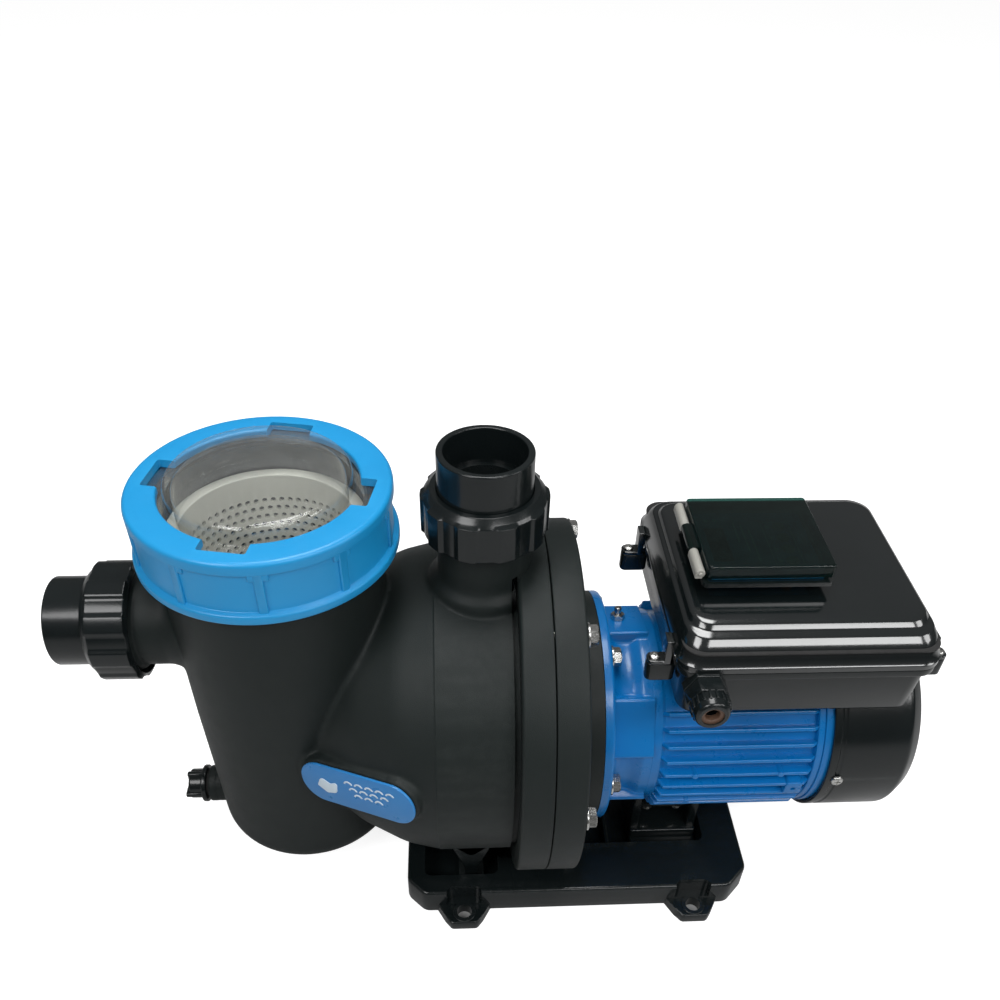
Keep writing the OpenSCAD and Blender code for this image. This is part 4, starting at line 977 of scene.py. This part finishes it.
def make_box_tray():
    top = TRAY_LOW + 41
    shell = loft([(TRAY_LOW, box_outline(9, corner=9)),
                  (TRAY_LOW + 0.8, box_outline(7.4, corner=10)),
                  (TRAY_LOW + 3, box_outline(6.3, corner=11)),
                  (top - 8, box_outline(4.6, corner=12)),
                  (top - 5.5, box_outline(4.6, corner=12))])
    flange = prism(box_outline(1, corner=14), top - 6, top, Matrix(), 1.0)
    lugs = [lug(x, y, LUG_TOP - 14, LUG_TOP) for x, y in LUG_SPOTS]
    saddle = slab(62, 150, -30, 30, SHAFT_Z + 60, TRAY_LOW + 2, 3, 1)
    cuts = [prism(box_outline(8, corner=9), TRAY_LOW + 3, top + 4),
            rod(77.15, 40, 170, ALONG_SHAFT, steps=160),
            rod(9, 190, 230, at(100, 0)),
            rod(8.1, -20, 40, frame_at((63, -80, 222), Y), 0, 48)]
    cuts += [rod(1.9, LUG_TOP - 15, 250, at(x, y), 0, 24)
             for x, y in LUG_SPOTS]
    posts = [rod(4, TRAY_LOW + 2, 221.95, at(x, y), 0.3, 32)
             for x in (72, 190) for y in (-56, 56)]
    tray = fuse([shell, flange, saddle] + lugs, cuts)
    piece(fuse([tray] + posts), "control_box_tray", "pump", "gloss_black", "box_tray")


# height above the parting line and inset of the cover's front face: lip, steep face, lower
# roll, cove, upper roll and flat top
COVER_PROFILE = ((0, 0), (3.2, 0), (3.9, 1.1), (8, 3.0), (12.5, 5.4), (15.3, 7.6),
                 (15.9, 8.2), (18.3, 10.6), (18.9, 11.3), (19.5, 13.4), (20.0, 15.2),
                 (20.4, 16.2), (20.9, 16.7), (22.9, 18.7), (23.4, 19.3), (24.2, 22.0),
                 (24.7, 26.0), (25, 31.5))


def cover_sections(wall):
    """Outlines of the cover, or of the hollow that leaves a wall inside it."""
    sections = []
    for rise, inset in COVER_PROFILE:
        corner = 16 - 0.12 * inset - wall / 2
        sections.append((COVER_LOW + rise * (1 - wall / 30) - (0.1 if wall and not rise else 0),
                         box_outline(0.48 * inset + wall, inset + wall, corner=corner)))
    return sections


def panel_slab(grow, z0, z1, corner=3.0, edge=0.0):
    return slab(PANEL_X0 - grow, PANEL_X1 + grow, PANEL_Y - PANEL_HALF - grow,
                PANEL_Y + PANEL_HALF + grow, z0, z1, corner, edge)


def make_box_cover():
    ears = [ear(x, y) for x, y in LUG_SPOTS]
    cuts = [loft(cover_sections(3.2)), panel_slab(-4, BOX_TOP - 12, BOX_TOP + 5),
            panel_slab(0.2, BOX_TOP - 3, BOX_TOP + 5)]
    cuts += [rod(2.3, 230, 250, at(x, y), 0, 24) for x, y in LUG_SPOTS]
    cover = fuse([loft(cover_sections(0))] + ears, cuts)
    ledge = combine(panel_slab(4, BOX_TOP - 6, BOX_TOP - 3.05),
                    panel_slab(-4, BOX_TOP - 12, BOX_TOP + 5), "DIFFERENCE")
    piece(fuse([cover, ledge]), "control_box_cover", "pump", "gloss_black", "box_cover",
          finish="box_black")
    screws = [pan_screw(at(x, y, LUG_TOP + 2.52), 1.85, 14, 3.8, 2.2)
              for x, y in LUG_SPOTS]
    piece(gather(screws), "box_cover_screws", "pump", "steel", "box_screws")


# ---- panel, display and keys ----

KEY_X = mid("key_1", 0)
KEY_YS = [mid("key_%d" % n, 1) for n in (1, 2, 3, 4)]


def make_control_panel():
    top = PANEL_Z
    plate = slab(PANEL_X0, PANEL_X1, PANEL_Y - PANEL_HALF, PANEL_Y + PANEL_HALF, top - 1.65,
                 top, 3, 0.5)
    cuts = [slab(low("display", 0) - 0.1, high("display", 0) + 0.1, low("display", 1) - 0.1,
                 high("display", 1) + 0.1, top - 5, top + 3, 1)]
    cuts += [rod(4.3, top - 5, top + 3, at(KEY_X, y), 0, 48)
             for y in KEY_YS]
    piece(fuse([plate], cuts), "blue_panel", "pump", "ring_blue", "control_panel")


def flat_mark(outline, top, rise=0.12):
    return prism(outline, top - 0.4, top + rise)


def bar(x0, x1, y0, y1):
    return flat_mark([(x0, y0), (x1, y0), (x1, y1), (x0, y1)], PANEL_Z)


def make_panel_marks():
    """Bracket outlines, pointers, lamps and short dashes printed on the panel."""
    left, right = PANEL_Y - 23, PANEL_Y + 23
    marks = []
    for y in KEY_YS:
        marks.append(flat_mark([(KEY_X - 9, y - 2.4), (KEY_X - 5.8, y), (KEY_X - 9, y + 2.4)],
                               PANEL_Z))
    marks += [bar(KEY_X - 11.6, KEY_X - 11, left, right)]
    marks += [bar(KEY_X - 11, KEY_X + 7, y, y + 0.6) for y in (left, right - 0.6)]
    marks += [bar(KEY_X + 6.4, KEY_X + 7, left + 0.6, right - 0.6)]
    marks += [bar(PANEL_X0 + 27 + 4.4 * i, PANEL_X0 + 28.2 + 4.4 * i, PANEL_Y + 2 - 10 * i,
                  PANEL_Y + 24 - 4 * i) for i in range(3)]
    for x in (PANEL_X0 + 10, PANEL_X0 + 16):
        for y in (PANEL_Y - 25, PANEL_Y + 25):
            dot = [(x + u, y + v) for u, v in (polar(1.5, a) for a in around(20))]
            marks.append(flat_mark(dot, PANEL_Z, 0.5))
    piece(gather(marks), "panel_print", "pump", "pale_plastic", finish="mark_white")


def make_display():
    x0, x1 = low("display", 0), high("display", 0)
    y0, y1 = low("display", 1), high("display", 1)
    glass = high("display", 2) - 0.4
    window = slab(x0, x1, y0, y1, low("display", 2), glass, 0.9, 0.3)
    piece(window, "display_window", "pump", "display_red", "display")
    # four figures of eight, each built of seven separate bars
    bars = []
    tall, wide, thick = 3.9, 4.2, 0.8
    for n in range(4):
        cx, cy = (x0 + x1) / 2, (y0 + y1) / 2 - 13.2 + 8.8 * n
        for i in (-1, 0, 1):
            bars.append((cx + i * tall - thick / 2, cx + i * tall + thick / 2,
                         cy - wide / 2 + 0.5, cy + wide / 2 - 0.5))
        for i in (-1, 0):
            for side in (-1, 1):
                y = cy + side * wide / 2
                bars.append((cx + i * tall + 0.55, cx + (i + 1) * tall - 0.55, y - thick / 2,
                             y + thick / 2))
    solids = [slab(a, b, c, d, glass - 0.3, glass + 0.25, 0.2) for a, b, c, d in bars]
    piece(gather(solids), "display_digits", "pump", "display_red", finish="digit_red")


def make_keys():
    for n, y in enumerate(KEY_YS, 1):
        base, top = low("key_%d" % n, 2), high("key_%d" % n, 2)
        dome = turned([(0, base), (4.1, base), (4.1, top - 1, 0.7), (2.6, top - 0.05, 2),
                       (0, top)], at(KEY_X, y), 64)
        piece(dome, "touch_key_%d" % n, "key_%d" % n, "pale_plastic", "key_%d" % n)


# ---- flip lid ----

def make_hinge():
    place = frame_at((HINGE_X, PANEL_Y, HINGE_Z), Y)
    solids = []
    for start in (13, -36):
        solids.append(rod(3, start, start + 23, place, 0.7, 48))
        solids.append(slab(HINGE_X - 3, HINGE_X + 1.5, PANEL_Y + start, PANEL_Y + start + 23,
                           HINGE_Z - 3.15, HINGE_Z, 0.3))
    solids.append(rod(1.2, -37, 37, place, 0.3, 24))
    piece(fuse(solids), "hinge_knuckles", "pump", "pale_plastic", "hinge_barrels")


def make_flip_lid():
    z0, z1 = low("flip_lid", 2), high("flip_lid", 2)
    x0, x1 = HINGE_X + 4, high("flip_lid", 0)
    y0, y1 = low("flip_lid", 1), high("flip_lid", 1)
    shell = slab(x0, x1, y0, y1, z0 - 8, z1, 2.6, 1.6)
    hollow = slab(x0 + 2.2, x1 - 2.2, y0 + 2.2, y1 - 2.2, z0 - 9, z1 - 2.2, 1.6, 0.6)
    below = slab(x0 - 5, x1 + 5, y0 - 5, y1 + 5, z0 - 20, z0)
    shell = fuse([shell], [hollow, below])
    place = frame_at((HINGE_X, PANEL_Y, HINGE_Z), Y)
    knuckle = fuse([rod(3, -12.8, 12.8, place, 0.5, 48),
                    slab(HINGE_X, x0 + 1.5, PANEL_Y - 12.8, PANEL_Y + 12.8, HINGE_Z - 1,
                         HINGE_Z + 2.95, 0.3)], [rod(1.28, -20, 20, place, 0, 32)])
    grip = slab(x1 - 1.5, x1 + 1.4, PANEL_Y - 9, PANEL_Y + 9, z0 + 0.4, z0 + 3, 0.8, 0.4)
    piece(fuse([shell, knuckle, grip]), "smoked_flip_lid", "window_lid", "smoked_plastic",
          "flip_lid")


# ---- cable gland ----

def hexagon(across):
    return rounded([(*polar(across, a), 1.2) for a in around(6)], steps=3)


def make_cable_gland():
    place = frame_at((mid("gland_nut", 0), -BOX_Y + 5, mid("gland_nut", 2)), -Y)
    body = fuse([prism(hexagon(14), 0.05, 7.05, place, 0.8), rod(9.5, 0, 23, place, 0.5),
                 rod(8, -9, 1, place, 0.5)], [rod(6.3, -10, 30, place, 0, 48)])
    piece(body, "gland_base", "pump", "gloss_black", "gland_body")
    nut = [prism(hexagon(13.9), 7.4, 18.2, place, 0.8), turned([(0, 7.4), (11.6, 7.4),
                                                                (11.6, 24, 1), (10.6, 28, 2.5),
                                                                (9.2, 29.3, 1), (0, 29.3)], place,
                                                               96)]
    nut += [slab(10.4, 12.4, -0.9, 0.9, 17, 24.5, 0.5, 0.5,
                 place @ spin(a)) for a in around(18)]
    bore = [rod(9.9, 7, 23.1, place, 0, 64), rod(8.1, 7, 28.2, place, 0, 64),
            rod(7, 7, 40, place, 0, 64)]
    piece(fuse(nut, bore), "gland_dome_nut", "gland_cap", "gloss_black", "gland_nut")
    ring = turned_ring([(4.4, 23.1, 0.4), (8, 23.1, 0.4), (8, 28, 0.6), (4.4, 28, 1.2)], place,
                       72)
    piece(ring, "gland_grommet", "gland_seal", "rubber", "gland_insert",
          finish="grommet_brown")
# ---- the remaining CAD solids ----

def dress_cad_nodes():
    slots = {s["node"]: s["material_slot"] for s in frame["record"]["subparts"]}
    for name, obj in frame["nodes"].items():
        obj.data.materials.clear()
        obj.data.materials.append(MAT[slots[name]])


# ---- stage ----

def make_stage():
    lowest, highest = CAD_BOX
    centre = (lowest + highest) / 2
    half_side = 6.0
    mesh = bpy.data.meshes.new("floor")
    mesh.from_pydata([(-half_side, -half_side, 0), (half_side, -half_side, 0),
                      (half_side, half_side, 0), (-half_side, half_side, 0)], [],
                     [(0, 1, 2, 3)])
    floor = bpy.data.objects.new("floor", mesh)
    bpy.context.collection.objects.link(floor)
    floor.location.z = lowest.z - 0.0004
    paper = finish_material("floor", (0.52, 0.52, 0.52), (0.50, 0.50, 0.50), 0.7, grain=0.0,
                            sheen=0.2)
    tree = paper.node_tree
    glow = node_of(tree, "Math", operation="MULTIPLY")
    tree.links.new(node_of(tree, "LightPath").outputs["Is Camera Ray"],
                   glow.inputs[0])
    # the paper stays dark at the bottom of the four holes in the base
    fold = node_of(tree, "VectorMath", operation="ABSOLUTE")
    tree.links.new(node_of(tree, "TexCoord").outputs["Object"], fold.inputs[0])
    gap = node_of(tree, "VectorMath", operation="DISTANCE")
    gap.inputs[1].default_value = (LUGS[-1][0] * MM, LUGS[-1][1] * MM, 0)
    tree.links.new(fold.outputs["Vector"], gap.inputs[0])
    tree.links.new(spread(tree, gap.outputs["Value"], 0.0, 0.85, 0.006, 0.009),
                   glow.inputs[1])
    tree.nodes["Principled BSDF"].inputs["Emission Color"].default_value = (1, 1, 1, 1)
    tree.links.new(glow.outputs[0], tree.nodes["Principled BSDF"].inputs["Emission Strength"])
    mesh.materials.append(paper)
    world = bpy.data.worlds.new("studio")
    world.use_nodes = True
    sky = world.node_tree
    sky.nodes["Background"].inputs["Color"].default_value = (1, 1, 1, 1)
    height = node_of(sky, "SeparateXYZ")
    sky.links.new(node_of(sky, "TexCoord").outputs["Generated"],
                  height.inputs["Vector"])
    # the paper backdrop looks white but lights the pump only softly
    level = node_of(sky, "Math", operation="MAXIMUM")
    sky.links.new(spread(sky, height.outputs["Z"], 0.06, 0.26, 0.0, 0.9), level.inputs[0])
    sky.links.new(node_of(sky, "LightPath").outputs["Is Camera Ray"],
                  level.inputs[1])
    sky.links.new(level.outputs[0], sky.nodes["Background"].inputs["Strength"])
    bpy.context.scene.world = world
    # name, place from the middle of the pump, length, width and power
    lamps = (("key", (-0.95, -1.0, 1.5), 0.75, 0.75, 15),
             ("fill", (1.5, -0.5, 0.9), 0.5, 0.5, 5),
             ("top", (0.05, 0.30, 2.0), 0.9, 0.9, 25),
             ("strip", (0.86, -1.2, 1.33), 1.2, 0.42, 14))
    for name, offset, size, size_y, power in lamps:
        data = bpy.data.lights.new(name, "AREA")
        data.shape = "RECTANGLE"
        data.size = size
        data.size_y = size_y
        data.energy = power
        lamp = bpy.data.objects.new(name, data)
        bpy.context.collection.objects.link(lamp)
        lamp.location = centre + Vector(offset)
        lamp.rotation_mode = "QUATERNION"
        # the long strip lies along the pump and draws the streaks on the control box
        aim = Vector((0 if name == "strip" else offset[0], *offset[1:]))
        lamp.rotation_quaternion = aim.to_track_quat("Z", "Y")
    bpy.context.scene.view_settings.view_transform = "Standard"


def make_camera():
    """Looks from the front left and above, as fitted to the picture's outlines."""
    yaw, pitch, roll = math.radians(4.01), math.radians(43.08), math.radians(-1.80)
    focal, principal = 0.93776, (0.50247, 0.64121)
    right = Vector((math.cos(yaw), -math.sin(yaw), 0))
    ahead = Vector((math.sin(yaw) * math.cos(pitch), math.cos(yaw) * math.cos(pitch),
                    -math.sin(pitch)))
    down = ahead.cross(right)
    turned_right = math.cos(roll) * right + math.sin(roll) * down
    turned_down = -math.sin(roll) * right + math.cos(roll) * down
    data = bpy.data.cameras.new("camera")
    data.sensor_width = 36
    data.lens = 36 * focal
    data.shift_x = 0.5 - principal[0]
    data.shift_y = principal[1] - 0.5
    data.clip_start = 0.02
    cam = bpy.data.objects.new("camera", data)
    bpy.context.collection.objects.link(cam)
    axes = Matrix((turned_right, -turned_down, -ahead)).transposed().to_4x4()
    cam.matrix_world = at(-0.09, -0.4765, 0.6332) @ axes
    bpy.context.scene.camera = cam


dress_cad_nodes()
make_pump_body()
make_rear_cover()
make_lock_ring()
make_clear_lid()
make_basket()
make_unions()
make_drain_plug()
make_badge()
make_rim_bolts()
make_flange_bolts()
make_earth_bolt()
make_front_shield()
make_motor_frame()
make_rear_shield()
make_fan_cover()
make_base_frame()
make_cradle()
make_motor_foot()
make_box_tray()
make_box_cover()
make_control_panel()
make_panel_marks()
make_display()
make_keys()
make_hinge()
make_flip_lid()
make_cable_gland()
make_stage()
make_camera()
